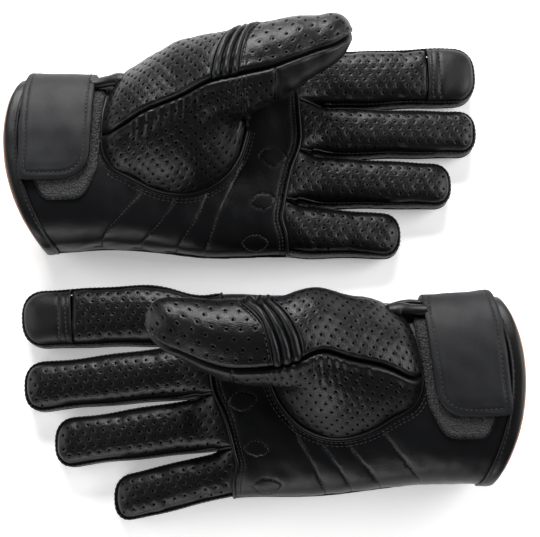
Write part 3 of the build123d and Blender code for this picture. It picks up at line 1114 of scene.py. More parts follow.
def bead(line, radius, sides=8, flat=1.0, up=(0.0, 0.0, 1.0)):
    """A cord of leather along a line. radius is a number or one value for each point."""
    line = np.asarray(line, float)
    run = np.gradient(line, axis=0)
    run /= np.maximum(np.linalg.norm(run, axis=1), 1e-9)[:, None]
    side = np.cross(run, up)
    side /= np.maximum(np.linalg.norm(side, axis=1), 1e-9)[:, None]
    top = np.cross(side, run)
    radius = np.broadcast_to(np.asarray(radius, float), len(line)).copy()
    radius[[0, -1]] *= 0.35  # both ends are drawn in
    angle = np.arange(sides) * 2 * pi / sides
    round_it = np.cos(angle)[None, :, None] * side[:, None]
    round_it = round_it + flat * np.sin(angle)[None, :, None] * top[:, None]
    points = (line[:, None] + radius[:, None, None] * round_it).reshape(-1, 3)
    faces = round_faces(len(line), sides)
    faces.append([j for j in range(sides)][::-1])
    faces.append([(len(line) - 1) * sides + j for j in range(sides)])
    return points, faces


print("a short cord has", len(round_faces(3, 8)) + 2, "faces")


# %% Stitches
CAPSULE = [  # how far along a stitch, how wide and how high, as shares of its length and thickness
    *((-0.5, 0.35, -0.55), (-0.36, 0.85, 0.0), (0.0, 1.0, 0.45), (0.36, 0.85, 0.0), (0.5, 0.35, -0.55)),
]
STITCH_SIDES = 6


def stitches(line, up, gap, length, thick):
    """Stitches along a line that lies on the leather; up is the leather's outward direction there."""
    line, up = np.asarray(line, float), np.asarray(up, float)
    runs = np.linalg.norm(np.diff(line, axis=0), axis=1)
    at = np.concatenate([[0], np.cumsum(runs)])
    count = max(1, int(at[-1] / gap))
    where = (np.arange(count) + 0.5) * at[-1] / count
    take = lambda values, w: np.stack([np.interp(w, at, column) for column in values.T], 1)
    middle, top = take(line, where), take(up, where)
    run = take(line, where + length / 2) - take(line, where - length / 2)
    run /= np.maximum(np.linalg.norm(run, axis=1), 1e-9)[:, None]
    top -= (top * run).sum(1)[:, None] * run
    top /= np.maximum(np.linalg.norm(top, axis=1), 1e-9)[:, None]
    side = np.cross(run, top)
    shape = []
    for far, wide, lift in CAPSULE:
        for a in np.arange(STITCH_SIDES) * pi / 3:
            shape.append((far * length, cos(a) * wide * thick, (sin(a) * wide + lift) * thick))
    shape = np.array(shape)
    points = (
        middle[:, None]
        + shape[None, :, :1] * run[:, None]
        + shape[None, :, 1:2] * side[:, None]
        + shape[None, :, 2:] * top[:, None]
    )
    size = len(shape)
    one = round_faces(len(CAPSULE), STITCH_SIDES, turned=True)
    one += [list(range(STITCH_SIDES)), list(range(size - 1, size - 1 - STITCH_SIDES, -1))]
    return points.reshape(-1, 3), [[v + k * size for v in face] for k in range(count) for face in one]


def sewn(spot, line, lift=0.0):
    """A pattern line's points and outward directions on the wrapped leather."""
    line = along_line(line, 1.0)
    up = normals_of(spot, line)
    return spot(line) + up * lift, up


print("a stitch has", STITCH_SIDES * len(CAPSULE), "points")

# %% [markdown]
# ## The palm
# The palm is one smooth piece of leather from the cuff to the knuckle seam, folded round both edges of the
# hand. Thin padding lies under the heel and is held by slanting stitched lines, and three leaf shapes are
# stitched below the fingers. The part under the ball of the thumb is cut away, since nothing of it can be
# seen.

# %% Palm pattern lines
QUILTING = {
    "left": [
        [(69, -16), (58, -29), (44, -45)],
        [(87, -18), (79, -29), (63, -46)],
        [(104, -10), (97, -26), (90, -36), (80, -48)],
        [(120, 2), (107, -26), (100, -42), (94, -51)],
    ],
    "right": [
        [(69, -16), (60, -30), (48, -46)],
        [(88, -17), (79, -30), (68, -46)],
        [(106, -9), (95, -24), (83, -46)],
        [(119, 4), (108, -17), (95, -50)],
    ],
}
LEAVES = [  # middle, length, width and turn of each stitched leaf
    ((134.5, 5), 14, 9.6, -4),
    ((129.5, -18.5), 12.5, 8, 12),
    ((125.5, -39), 13.5, 7.5, -2),
]
UNDER_BALL = [  # x and y of the part that the ball hides
    *((52, 34), (48, 26), (48, 12), (53, 0), (62, -8), (76, -12)),
    *((92, -11), (106, -2), (116, 8), (120, 24), (104, 40), (78, 44)),
]
SIDE_SEAM = 15.0  # how high the seam between palm and back lies, mm
CUFF_WIDTH = 4.5  # the cuff's binding covers this much leather, mm
FINE = dict(gap=1.85, length=1.15, thick=0.22)  # the small stitches of the palm


def cuff_x(q):
    """s of the cuff's edge for places round the hand."""
    q = np.atleast_1d(q)
    return np.polyval(CUFF, hand(np.column_stack([np.full(len(q), 8.0), q]))[:, 1])


def leaf(centre, long, wide, turn, points=40):
    t = np.linspace(0, 2 * pi, points)
    x, y = long / 2 * np.cos(t), wide / 2 * np.sin(t) * np.abs(np.sin(t)) ** 0.6
    c, s = cos(radians(turn)), sin(radians(turn))
    return np.column_stack([centre[0] + c * x - s * y, centre[1] + s * x + c * y])


def edge_q(x, side):
    """Where the side seam runs, round the hand."""
    return round_at_height(x, SIDE_SEAM, side)


def palm_outline():
    cuff_q = np.linspace(edge_q(12, 1), edge_q(18, -1), 90)
    cuff = np.column_stack([cuff_x(cuff_q) + CUFF_WIDTH, cuff_q])
    low = [(x, edge_q(x, -1)) for x in np.linspace(cuff[-1][0], 142, 60)]
    knuckle_q = np.linspace(edge_q(142, -1), edge_q(150, 1), 120)
    knuckle_y = hand(np.column_stack([0 * knuckle_q + 145, knuckle_q]))[:, 1]
    knuckles = np.column_stack([seam_x(knuckle_y), knuckle_q])
    high = [(x, edge_q(x, 1)) for x in np.linspace(149, cuff[0][0], 70)]
    return np.vstack([cuff, low[1:-1], knuckles, high[1:-1]]), knuckles


print("palm outline has", len(palm_outline()[0]), "points")


# %% The palm's leather and stitches
def palm_piece(glove):
    outline, knuckles = palm_outline()
    quilting = [hand.nearest(curved_line(line)) for line in QUILTING[glove.side]]
    leaves = [hand.nearest(leaf(*one)) for one in LEAVES]
    seed = 3 if glove.mirrored else 1
    rows = [offset_line(knuckles, by, False) for by in (2.0, 3.6)]
    creases = [(line, 0.5, 0.4) for line in quilting] + [(line, 0.42, 0.28) for line in leaves]
    creases += [(row, 0.5, 0.25) for row in rows]

    def rise(pattern):
        spots = hand(pattern)
        lift = 0.30 * ripple(spots, 24, seed) + 0.10 * ripple(spots, 8, seed + 20)
        for line in quilting:
            lift -= 0.30 * np.exp(-((gap_to_line(pattern, line) / 3.6) ** 2))
        for line in leaves:
            lift += 0.22 * inside(pattern, line)
        return lift

    hidden = lambda pattern: inside(hand(pattern)[:, :2], UNDER_BALL)
    made = panel(outline, hand, 1.3, creases=creases, rise=rise, hidden=hidden)
    replaced = ["palm_panel", "palm_padding"]
    glove.piece("palm_leather", [made], "palm", smooth_leather, "smooth_leather", replaced, padded=0.4)

    sewing = [stitches(*sewn(hand, line, -0.52), **FINE) for line in quilting]
    sewing += [stitches(*sewn(hand, line, 0.0), **FINE) for line in leaves]
    sewing += [stitches(*sewn(hand, row, -0.1), gap=1.9, length=1.3, thick=0.22) for row in rows]
    glove.piece("palm_stitches", sewing, "palm", thread, "smooth_leather")
    palm_seams(glove, knuckles)


def palm_seams(glove, knuckles):
    """The welts along the knuckles and along both side seams."""
    welt, up = sewn(hand, knuckles, 0.25)
    sides = []
    for side in (1, -1):
        start = float(cuff_x(edge_q(14, side))[0]) + 5
        sides.append([(x, edge_q(x, side)) for x in np.arange(start, 144, 1.5)])
    seams = [bead(welt, 0.85, up=up)]
    for side in sides:
        line, up = sewn(hand, np.array(side), -0.1)
        seams.append(bead(line, 0.6, up=up))
    glove.piece("palm_seams", seams, "palm", smooth_leather, "smooth_leather")


print("quilting lines:", {side: len(lines) for side, lines in QUILTING.items()})

# %% [markdown]
# ## The back, the cuff and the lining
# The back is the other half of the hand tube, with three stitched pleats towards the knuckles. The cuff's raw
# edge is closed by a folded strip of leather, and the tan lining stands a little past it. Both are made by
# sweeping a short profile round the cuff, since their section is the same all the way.

# %% Sweeping a profile round the cuff
BINDING = [  # how far from the cuff's edge, how high
    *((6.4, -0.1), (6.5, 0.55), (6.1, 1.0), (5.4, 0.9), (4.9, 0.62), (4.3, 0.85), (3.0, 1.05)),
    *((1.4, 1.1), (0.3, 0.85), (-0.25, 0.2), (-0.25, -0.6), (0.4, -1.2), (2.5, -1.35), (5.0, -1.3)),
]
LINING = [
    *((5, -1.0), (1, -0.85), (-0.5, -0.7), (-1.0, -0.95), (-1.2, -1.5), (-0.8, -2.1)),
    *((1, -2.5), (8, -2.7), (20, -2.9), (36, -3.0), (52, -3.2)),
]
CLOSING = [  # the lining's far end, out of reach: how far in, and its share of the full size
    *((66, 0.93), (78, 0.80), (88, 0.60), (94, 0.36), (96.5, 0.12), (97, 0.01)),
]
CUFF_ROW = 20  # the wrap's row by which the cuff is measured


def sweep(profile, closing=(), count=260, waver=0.0, seed=0):
    """The profile carried round the cuff, and then drawn together at its far end."""
    share_round = np.linspace(-1, 1, count + 1)[:-1]
    start = cuff_x(np.where(share_round < 0, hand.minus[CUFF_ROW], hand.plus[CUFF_ROW]) * share_round)

    def ring_pattern(dx):
        minus, plus = hand.sides(start + dx)
        return np.column_stack([start + dx, np.where(share_round < 0, minus, plus) * share_round])

    rows = []
    for dx, lift in profile:
        pattern = ring_pattern(dx)
        up = normals_of(hand, pattern)
        uneven = waver * ripple(hand(pattern), 9, seed)[:, None] if waver else 0
        rows.append(hand(pattern) + up * (lift + uneven))
    for dx, share in closing:
        pattern = ring_pattern(dx)
        ring = hand(pattern) + normals_of(hand, pattern) * profile[-1][1]
        rows.append(ring.mean(0) + (ring - ring.mean(0)) * share)
    faces = round_faces(len(rows), count)
    if closing:
        faces.append([(len(rows) - 1) * count + j for j in range(count)])
    return np.concatenate(rows), [face[::-1] for face in faces]


def cuff_pieces(glove):
    seed = 40 if glove.mirrored else 30
    binding = sweep(BINDING, waver=0.06, seed=seed)
    glove.piece("cuff_edge", [binding], "palm", binding_leather, "binding_leather", ["cuff_binding"])
    q = np.linspace(-hand.minus[CUFF_ROW], hand.plus[CUFF_ROW], 260)
    line, up = sewn(hand, np.column_stack([cuff_x(q) + 4.9, q]), 0.70)
    sewing = stitches(line, up, gap=2.4, length=1.6, thick=0.26)
    glove.piece("cuff_stitches", [sewing], "palm", shaded_thread, "binding_leather")
    lining = sweep(LINING, CLOSING, waver=0.12, seed=seed + 1)
    glove.piece("knit_lining", [lining], "palm", lining_knit, "lining_knit", ["hand_lining"])


print("the cuff is", round(float(hand.plus[CUFF_ROW] + hand.minus[CUFF_ROW])), "mm round")


# %% The back's leather and pleats
PLEATS = [(26, 88), (2, 84), (-21, 88)]  # y at the knuckles, x where the pleat ends


def back_piece(glove):
    around = lambda x: float(np.interp(x, hand.s, hand.plus + hand.minus))
    cuff_q = np.linspace(edge_q(12, 1), around(18) + edge_q(18, -1), 90)
    cuff = np.column_stack([cuff_x(cuff_q) + CUFF_WIDTH, cuff_q])
    far = [(x, around(x) + edge_q(x, -1)) for x in np.linspace(cuff[-1][0], 148, 60)]
    near = [(x, edge_q(x, 1)) for x in np.linspace(148, cuff[0][0], 60)]
    outline = np.vstack([cuff, far[1:], near[:-1]])
    half = around(100) / 2
    pleats = []
    for y, end in PLEATS:
        x = np.arange(end, 142, 1.5)
        pleats += [np.column_stack([x, half - y + by * (x - end + 12) / 60]) for by in (1.7, -1.7)]
    seed = 5 if glove.mirrored else 4
    rise = lambda pattern: -0.35 + 0.25 * ripple(hand(pattern), 20, seed)
    made = panel(outline, hand, 1.9, creases=[(line, 0.8, 0.7) for line in pleats], rise=rise)
    glove.piece("back_leather", [made], "palm", smooth_leather, "smooth_leather", ["back_panel"])
    sewing = [stitches(*sewn(hand, line, -0.9), **FINE) for line in pleats]
    glove.piece("back_stitches", sewing, "palm", thread, "smooth_leather")


print("pleats on the back:", len(PLEATS))

# %% [markdown]
# ## The strap and its closure
# The strap is a thick tab of matt leather that wraps over the wrist and grips a pad of loops. A tab is made
# from a panel for its top, another for its underside and a rounded rim between them, all from one outline, so
# it has a true thickness when it is peeled open. The loops are a fine, real relief on their pad.

# %% Tabs
RIM_ROWS = (0, 0.25, 0.5, 0.75, 1)
EDGE_TUCK, EDGE_ROLL = 0.35, 0.9  # how far a tab's edge sinks and over which width, mm
FLIP = [1, -1]  # turns a pattern over, for a side that faces down


def heights(offset, pattern):
    """An offset as one number or as a function, at every place of a pattern."""
    return offset(pattern) if callable(offset) else np.full(len(pattern), float(offset))


def at_height(offset):
    """The hand's surface raised by an offset in mm, or by offset(pattern)."""
    return lambda pattern: hand(pattern) + normals_of(hand, pattern) * heights(offset, pattern)[:, None]


def rim(outline, low, high, pitch, bulge=0.3):
    """The rounded edge between a tab's two sides."""
    outline = even_outline(outline, pitch)
    run = np.roll(outline, -1, axis=0) - np.roll(outline, 1, axis=0)
    run /= np.maximum(np.linalg.norm(run, axis=1), 1e-9)[:, None]
    out = np.column_stack([run[:, 1], -run[:, 0]])
    rows = []
    for t in RIM_ROWS:
        pattern = outline + out * bulge * sin(pi * t)
        rows.append(high(pattern) * (1 - t) + low(pattern) * t)
    return np.concatenate(rows), round_faces(len(rows), len(outline), turned=True)


def tab(outline, low, high, pitch=1.2, tuck=EDGE_TUCK, roll=EDGE_ROLL, **more):
    """The three parts of a flat piece with a thickness; outline runs anticlockwise."""
    outline = even_outline(outline, pitch)
    top = panel(outline, at_height(high), pitch, tuck=tuck, roll=roll, **more)
    under = panel(outline * FLIP, lambda p: at_height(low)(p * FLIP), pitch * 1.6, tuck=0)
    sunk = EDGE_TUCK * (1 - step_up(0, SEAM_IN, EDGE_ROLL))
    edge = rim(outline, at_height(low), at_height(lambda p: heights(high, p) - sunk), pitch)
    return [top, under, edge]


def rounded(corners, step=7):
    """An outline with round corners: each corner is (x, y, radius)."""
    line = []
    count = len(corners)
    for k, (x, y, radius) in enumerate(corners):
        here = np.array([x, y])
        before, after = np.array(corners[k - 1][:2]), np.array(corners[(k + 1) % count][:2])
        a, b = (before - here) / np.linalg.norm(before - here), (after - here) / np.linalg.norm(after - here)
        reach = radius / max(tan(np.arccos(np.clip(a @ b, -1, 1)) / 2), 1e-3)
        for t in np.linspace(0, 1, step):
            line.append(here + a * reach * (1 - t) ** 2 + b * reach * t**2)
    return np.array(line)


print("a tab's rim has", len(RIM_ROWS), "rows")

# %% [markdown]
# ## The strap
# The strap hangs on a hinge line by the side seam, where a sewn root holds it. Strap and root are two tabs,
# so the strap can peel open while its root stays on the cuff.

# %% The strap and its root
STRAP_LOW, STRAP_HIGH = 2.9, 4.7  # how high the strap's two sides lie over the hand, mm
ROOT_LOW, ROOT_HIGH = -0.3, 0.6  # the same for its root where it goes under the cuff
STRAP_MIDDLE = 25  # x of the strap's middle, mm
STRAP_SEWING = dict(gap=2.3, length=1.5, thick=0.36)


def q_of(x, y):
    """How far round the hand a place in plan is."""
    return float(hand.nearest([(x, y)])[0][1])


def strap_row(free, hinge_q):
    """The row of stitches round the strap, open at its root."""
    row = rounded(
        [
            *((11.5, free + 2.9, 3), (39.6, free + 2.9, 12), (40.2, hinge_q * 0.6, 60)),
            *((39.7, hinge_q + 2, 0.5), (12.3, hinge_q + 2, 0.5), (10.6, hinge_q * 0.6, 60)),
        ]
    )
    row = along_line(np.vstack([row, row[:1]]), 1.0)
    row = row[row[:, 1] < hinge_q - 1.0]
    turn = int(np.argmax(np.linalg.norm(np.diff(row, axis=0), axis=1)))
    return np.vstack([row[turn + 1 :], row[: turn + 1]])


def strap_pieces(glove):
    seed = 9 if glove.mirrored else 8
    hinge_q, end_q = round_at_height(STRAP_MIDDLE, 25, 1), round_at_height(STRAP_MIDDLE, 7.5, 1)
    free = q_of(STRAP_MIDDLE, -13)
    outline = rounded(
        [
            *((8.7, free, 4), (42.3, free, 14.5), (43.0, hinge_q * 0.6, 60)),
            *((42.5, hinge_q, 0.5), (9.5, hinge_q, 0.5), (7.8, hinge_q * 0.6, 60)),
        ]
    )
    row = strap_row(free, hinge_q)

    def sag(pattern):
        """How high the strap's top lies: its free end droops on to the pad."""
        droop = 1.1 * (1 - step_up(pattern[:, 1], free - 2, free + 9))
        return STRAP_HIGH - droop + 0.25 * ripple(hand(pattern), 30, seed)

    def rise(pattern):
        border = 1 - step_up(gap_to_line(pattern, row), 0.6, 3)
        return 0.12 * ripple(hand(pattern), 11, seed + 4) + 0.18 * border

    below = lambda p: sag(p) - (STRAP_HIGH - STRAP_LOW)
    parts = tab(outline, below, sag, 1.1, creases=[(row, 0.75, 0.4)], rise=rise)
    glove.piece("strap_leather", parts, "strap", strap_leather, "strap_leather", ["wrist_strap"])
    sewing = stitches(*sewn(at_height(sag), row, -0.22), **STRAP_SEWING)
    glove.piece("strap_stitches", [sewing], "strap", shaded_thread, "strap_leather")

    reach = lambda p, far, near: 1 - step_up(p[:, 1], end_q - far, end_q - near)
    high = lambda p: ROOT_HIGH + (STRAP_HIGH - ROOT_HIGH) * reach(p, 14, 0)
    low = lambda p: ROOT_LOW + (STRAP_LOW - ROOT_LOW) * reach(p, 16, 2)
    root_q = hinge_q + 0.15
    anchor = rounded([(9.5, root_q, 0.4), (42.5, root_q, 0.4), (41.5, end_q, 3), (10.5, end_q, 3)])
    parts = tab(anchor, low, high, 1.3)
    glove.piece("strap_root", parts, "palm", strap_leather, "strap_leather", ["strap_anchor"])
    closure_pieces(glove, below, seed)


print("the strap ends", round(abs(q_of(STRAP_MIDDLE, -13))), "mm past the middle of the wrist")

# %% [markdown]
# ## The closure
# A field of tiny hooks grips a pad of loops. The loops are a wavy relief on a closely meshed tab, since their
# matt roughness is seen even from afar; the hooks are hidden until the strap is open, so a plain tape will
# do.

# %% Hooks and loops
PAD_LOW, PAD_HIGH = -0.4, 1.4
HOOKS_LOW, HOOKS_HIGH = -1.15, 0.1  # over the strap's underside, mm


def loop_relief(pattern, seed):
    """Rows of small loops, bent this way and that."""
    x, y = pattern[:, 0], pattern[:, 1]
    rows = np.sin(x * 5.6 + 0.8 * np.sin(y * 1.3)) * np.sin(y * 5.2 + 0.7 * np.sin(x * 1.1))
    return 0.26 * rows + 0.12 * ripple(hand(pattern), 2.2, seed)


def closure_pieces(glove, below, seed):
    """The pad of loops on the wrist, and the hook tape under the strap's free end."""
    pad = rounded(
        [
            *((15.5, q_of(20, -12), 5), (21, q_of(22, -22.5), 6), (40, q_of(35, -22), 9)),
            *((46.5, q_of(46, -6), 9), (48.8, q_of(48.5, 38), 1.5), (16, q_of(16, 36), 1.5)),
        ]
    )
    loops = lambda p: loop_relief(p, seed + 7)
    parts = tab(pad, PAD_LOW, PAD_HIGH, 0.52, rise=loops, tuck=0.9, roll=2.0)
    glove.piece("loop_side", parts, "palm", loop_pile, "loop_fabric", ["loop_pad"])
    inner_q = q_of(25, 22)
    hooks = rounded([(12, q_of(20, -9), 4), (39, q_of(25, -9), 10), (40, inner_q, 2), (12, inner_q, 2)])
    parts = tab(hooks, lambda p: below(p) + HOOKS_LOW, lambda p: below(p) + HOOKS_HIGH, 1.3)
    glove.piece("hook_side", parts, "strap", hook_tape, "hook_tape", ["hook_pad"])


print("the pad of loops is", PAD_HIGH - PAD_LOW, "mm thick")

# %% [markdown]
# ## The wrist vent
# The glove is slit beside the ball so that a hand can get in, and the slit's edge is rolled and bound. A
# thick cord with a little unevenness reads as such a roll, and it runs out under the ball instead of ending
# in the open.

# %% The wrist vent
VENT_STAND = {"left": 2.6, "right": 1.5}  # how far the vent's edge stands off where it meets the ball, mm
VENT_ROLLS = [(38.0, 3.2, 3.0, 0.0), (32.6, 1.6, 1.7, 4.5)]  # height, lift, radius, dive under the ball


def vent_piece(glove):
    """The bound edge of the wrist vent and the roll below it, between the strap and the ball of the thumb."""
    xs = np.arange(40, 61, 0.8)
    stand = VENT_STAND[glove.side]
    parts = []
    for height, lift, radius, dive in VENT_ROLLS:
        pattern = np.array([(x, round_at_height(x, height - 0.10 * (x - 40), 1)) for x in xs])
        line, up = sewn(hand, pattern, lift)
        out = stand * step_up(line[:, 0], 43, 57)
        line = line + up * (out - dive * step_up(line[:, 0], 47, 60))[:, None]
        thick = radius + 0.45 * out + 0.15 * np.sin(np.arange(len(line)) * 0.5)
        parts.append(bead(line, thick, sides=12, up=up, flat=0.75))
    glove.piece("vent_edge", parts, "palm", binding_leather, "binding_leather", ["vent_binding"])


print("the vent's edge stands off by", VENT_STAND, "mm")

# %% [markdown]
# ## The ball and the thumb in leather
# Two punched panels cover the ball and meet in the valley. Past the thumb's root there are three padded ribs
# on the outside, a punched cap over the tip and a smooth underside. All are cut from the same skin, with
# edges that match.

# %% Thumb patterns
RIBS, RIB_PITCH = 3, 5.6
RIB_START = {"left": 104.5, "right": 105.0}
UNDERSIDE_START = {"left": 136.0, "right": 138.0}
PUCKERED = {"left": 80.0, "right": 97.0}  # where the valley seam gathers the leather most
BURIED = -2.0  # leather this deep under the palm's surface is cut away
DEEPEST = -2.3  # the same, once it is pressed in; the lining lies just under this
LOWEST = 21.0  # and so is leather lower than this
BALL_HOLES = dict(along=4.9, across=3.9)  # how the ball is punched, mm
ZONE = RIBS * RIB_PITCH


def rib_line(side, q):
    """s of the line where the ribs start, for places round the thumb."""
    wrap = thumbs[side]
    x = RIB_START[side] + 0.0098 * np.minimum(np.abs(q), 34) ** 2 * (q > 0)
    return np.interp(x, wrap.x_of_s, wrap.s)


def foot_line(side):
    """The line round which the ball meets the palm, as a pattern line of the palm."""
    wrap = thumbs[side]
    found = {1: [], -1: []}
    for way, last in ((1, 50.5), (-1, 131)):
        for x in np.arange(44.2, last, 0.8):
            s = float(np.interp(x, wrap.x_of_s, wrap.s))
            minus, plus = wrap.sides(s)
            q = way * np.linspace(0, plus if way > 0 else minus, 260)
            depth = hand_depth(wrap(np.column_stack([np.full(260, s), q])))
            if depth[0] > 0 and (depth < 0).any():
                at = wrap(np.array([[s, q[np.argmax(depth < 0)]]]))[0]
                found[way].append(at)
    line = np.array(found[1][::-1] + found[-1])
    line = along_line(line, 1.0)
    for _ in range(12):
        line[1:-1] = (line[:-2] + 2 * line[1:-1] + line[2:]) / 4
    return along_line(line, 1.0)


for side in ("left", "right"):
    foot = foot_line(side)
    print(side, "ball meets the palm from", foot.min(0).round(), "to", foot.max(0).round())


# %% How the ball's leather lies
class ThumbCut:
    """Where the thumb's panels end on one glove, and how far their leather stands out or sinks."""

    def __init__(self, glove):
        self.side, self.wrap = glove.side, thumbs[glove.side]
        self.seed = 60 if glove.mirrored else 50
        self.first, self.last = self.s_of(43.6), float(self.wrap.s[-1]) - 0.4
        self.low_end = self.s_of(UNDERSIDE_START[self.side])

    def s_of(self, x):
        return float(np.interp(x, self.wrap.x_of_s, self.wrap.s))

    def plus(self, s):
        return self.wrap.sides(s)[1] - 0.02

    def minus(self, s):
        return self.wrap.sides(s)[0] - 0.02

    def edge(self, far, q):
        """s of a line far mm past the start of the ribs."""
        return float(rib_line(self.side, q)) + far

    def reach(self, far):
        """How far round the thumb such a line runs."""
        return max(q for q in np.linspace(0, 75, 301) if q < self.plus(self.edge(far, q)))

    def shown(self, holes):
        at = self.wrap(holes)
        return (hand_depth(at) > 2.0) & (at[:, 2] > LOWEST + 4)

    def valley(self, pattern):
        """How far the leather sinks to the valley seam and puffs up beside it."""
        s, q = pattern[:, 0], np.abs(pattern[:, 1])
        fades = 1 - 0.55 * step_up(s, self.s_of(118), self.s_of(150))
        deep = step_up(s, self.s_of(46), self.s_of(62)) * fades
        return deep * (-2.8 * np.exp(-((q / 0.85) ** 1.4)) + 0.9 * np.exp(-(((q - 2.7) / 2.1) ** 2)))

    def skin(self, pattern):
        """The valley, some unevenness, and a dive under the thumb where the underside meets the hand."""
        at = self.wrap(pattern)
        dive = 5.0 * (1 - step_up(at[:, 2], LOWEST - 2, LOWEST + 11)) * (at[:, 1] > 40)
        uneven = self.valley(pattern) + 0.28 * ripple(at, 19, self.seed)
        return uneven + 0.07 * ripple(at, 7, self.seed + 1) - dive

    def buried(self, pattern):
        """Where the leather lies out of sight inside the hand, or too low."""
        at = self.wrap(pattern)
        pressed = at + normals_of(self.wrap, pattern) * self.skin(pattern)[:, None]
        return (hand_depth(at) < BURIED) | (hand_depth(pressed) < DEEPEST) | (at[:, 2] < LOWEST)

    def puckers(self, pattern):
        """The skin with the gathers that the valley seam draws into the palm's side."""
        s, q = pattern[:, 0], -pattern[:, 1]
        near = lambda x, long: np.exp(-(((s - self.s_of(x)) / long) ** 2))
        along = near(PUCKERED[self.side], 20) + 0.8 * near(118, 10)
        folds = np.sin(2 * pi * s / 4.4 + 1.9 * np.sin(s / 5.0) + q * 0.14)
        folds = folds + 0.5 * np.sin(2 * pi * s / 2.9 + 2 + q * 0.2)
        folds *= 0.62 + 0.38 * np.sin(s / 3.7 + 1.0)
        drape = 0.55 * np.sin((s * 0.55 + q * 1.0) / 2.9 + 0.6) * near(120, 13) * step_up(q, 8, 18)
        return self.skin(pattern) + 1.2 * along * folds * np.exp(-q / 8.5) * step_up(q, 0.2, 3.6) + drape

    def creased(self, pattern):
        """The skin with the fine folds at the start of the underside."""
        s, q = pattern[:, 0], -pattern[:, 1]
        near = np.exp(-(((s - self.low_end - 7) / 8) ** 2))
        folds = np.sin((s - q * 0.5) / 1.9 + 0.8 * np.sin(q / 6)) * near * step_up(q, 3, 10)
        return self.skin(pattern) + 0.45 * folds

    def ribs(self, pattern):
        """Three padded lumps one after the other."""
        t = (pattern[:, 0] - rib_line(self.side, pattern[:, 1])) / RIB_PITCH
        lump = np.abs(np.sin(np.clip(t, 0, RIBS) * pi)) ** 0.62
        uneven = 0.10 * ripple(self.wrap(pattern), 6, self.seed + 5)
        return -0.75 + 2.25 * lump + uneven + 0.5 * self.valley(pattern)


print("the ribs cover", ZONE, "mm of the thumb")


# %% The ball's two panels
BALL_PANEL = dict(pitch=1.2, roll=1.3, hole=0.66)


def ball_pieces(glove, cut):
    wrap, first, low_end = cut.wrap, cut.first, cut.low_end
    # the palm's side, from the valley down to the palm and round under the thumb
    low = [(s, 0.0) for s in np.linspace(first, low_end, 110)]
    low += [(low_end, -t * cut.minus(low_end)) for t in np.linspace(0, 1, 120)[1:-1]]
    low += [(s, -cut.minus(s)) for s in np.linspace(low_end, first, 110)]
    holes = lattice((first - 3, -120), (low_end, 4), seed=cut.seed, **BALL_HOLES)
    holes = holes[(-holes[:, 1] > 3.4) & cut.shown(holes)]
    made = panel(np.array(low), wrap, holes=holes, rise=cut.puckers, hidden=cut.buried, **BALL_PANEL)
    replaced = ["thenar_lower_panel"]
    glove.piece("ball_inner_leather", [made], "thumb", perforated_leather, "perforated_leather", replaced)

    # the outer side, up to the ribs
    high = [(s, 0.0) for s in np.linspace(cut.edge(0, 0), first, 90)]
    high += [(s, cut.plus(s)) for s in np.linspace(first, cut.edge(0, 99.0), 90)]
    round_ribs = np.linspace(0, cut.plus(cut.s_of(108)), 80)[::-1]
    high += [(cut.edge(0, q), q) for q in round_ribs if q < cut.plus(cut.edge(0, q))][:-1]
    holes = lattice((first - 3, 0), (140, 120), seed=cut.seed + 2, **BALL_HOLES)
    holes = holes[(holes[:, 1] > 3.6) & cut.shown(holes)]
    made = panel(np.array(high), wrap, holes=holes, rise=cut.skin, hidden=cut.buried, **BALL_PANEL)
    replaced = ["thenar_upper_panel"]
    glove.piece("ball_outer_leather", [made], "thumb", perforated_leather, "perforated_leather", replaced)


print("the ball is punched every", BALL_HOLES["along"], "mm")

# %% [markdown]
# ## Ribs, cap and underside
# Foam under the ribs lets the thumb bend. Each panel is cut along lines of the same wrap, so neighbours share
# an edge exactly and no gap can open between them.

# %% The ribs, the cap and the underside
def rib_piece(glove, cut):
    edge, reach = cut.edge, cut.reach
    near_q, far_q = np.linspace(0, reach(0), 70), np.linspace(0, reach(ZONE), 70)
    outline = [(edge(0, q), q) for q in near_q]
    outline += [(edge(far, reach(far)), reach(far)) for far in np.linspace(0, ZONE, 20)[1:-1]]
    outline += [(edge(ZONE, q), q) for q in far_q[::-1]]
    outline += [(edge(far, 0), 0) for far in np.linspace(ZONE, 0, 16)[1:-1]]
    grooves = []
    for far in np.arange(1, RIBS) * RIB_PITCH:
        groove = np.array([(edge(far, q), q) for q in np.linspace(0.5, reach(far) - 0.5, 60)])
        grooves.append((groove, 0.55, 0.5))
    made = panel(np.array(outline), cut.wrap, 0.85, creases=grooves, rise=cut.ribs, tuck=0.6, roll=1.0)
    replaced = ["thumb_ribs"]
    glove.piece("thumb_rib_leather", [made], "thumb", smooth_leather, "smooth_leather", replaced, padded=0.8)


def cap_row(cut):
    """The row of stitches just past the ribs."""
    return np.array([(cut.edge(ZONE, q) + 2.0, q) for q in np.linspace(0, cut.reach(ZONE), 70)[2:-2]])


def cap_piece(glove, cut):
    edge, last = cut.edge, cut.last
    far_q = np.linspace(0, cut.reach(ZONE), 70)
    cap = [(edge(ZONE, q), q) for q in far_q]
    cap += [(s, cut.plus(s)) for s in np.linspace(edge(ZONE, far_q[-1]), last, 90)[1:]]
    cap += [(s, 0.0) for s in np.linspace(last, edge(ZONE, 0), 90)[:-1]]
    holes = lattice((100, 0), (200, 90), 6.6, 4.9, cut.seed + 7)
    keep = holes[:, 0] > rib_line(cut.side, holes[:, 1]) + ZONE + 4.6
    holes = holes[keep & (holes[:, 1] > 4.0) & (holes[:, 0] < last - 7)]
    creases = [(cap_row(cut), 0.7, 0.35)]
    made = panel(np.array(cap), cut.wrap, 1.2, holes=holes, creases=creases, rise=cut.skin, hole=0.72)
    replaced = ["thumb_tip_cap"]
    glove.piece("thumb_cap_leather", [made], "thumb", perforated_leather, "perforated_leather", replaced)


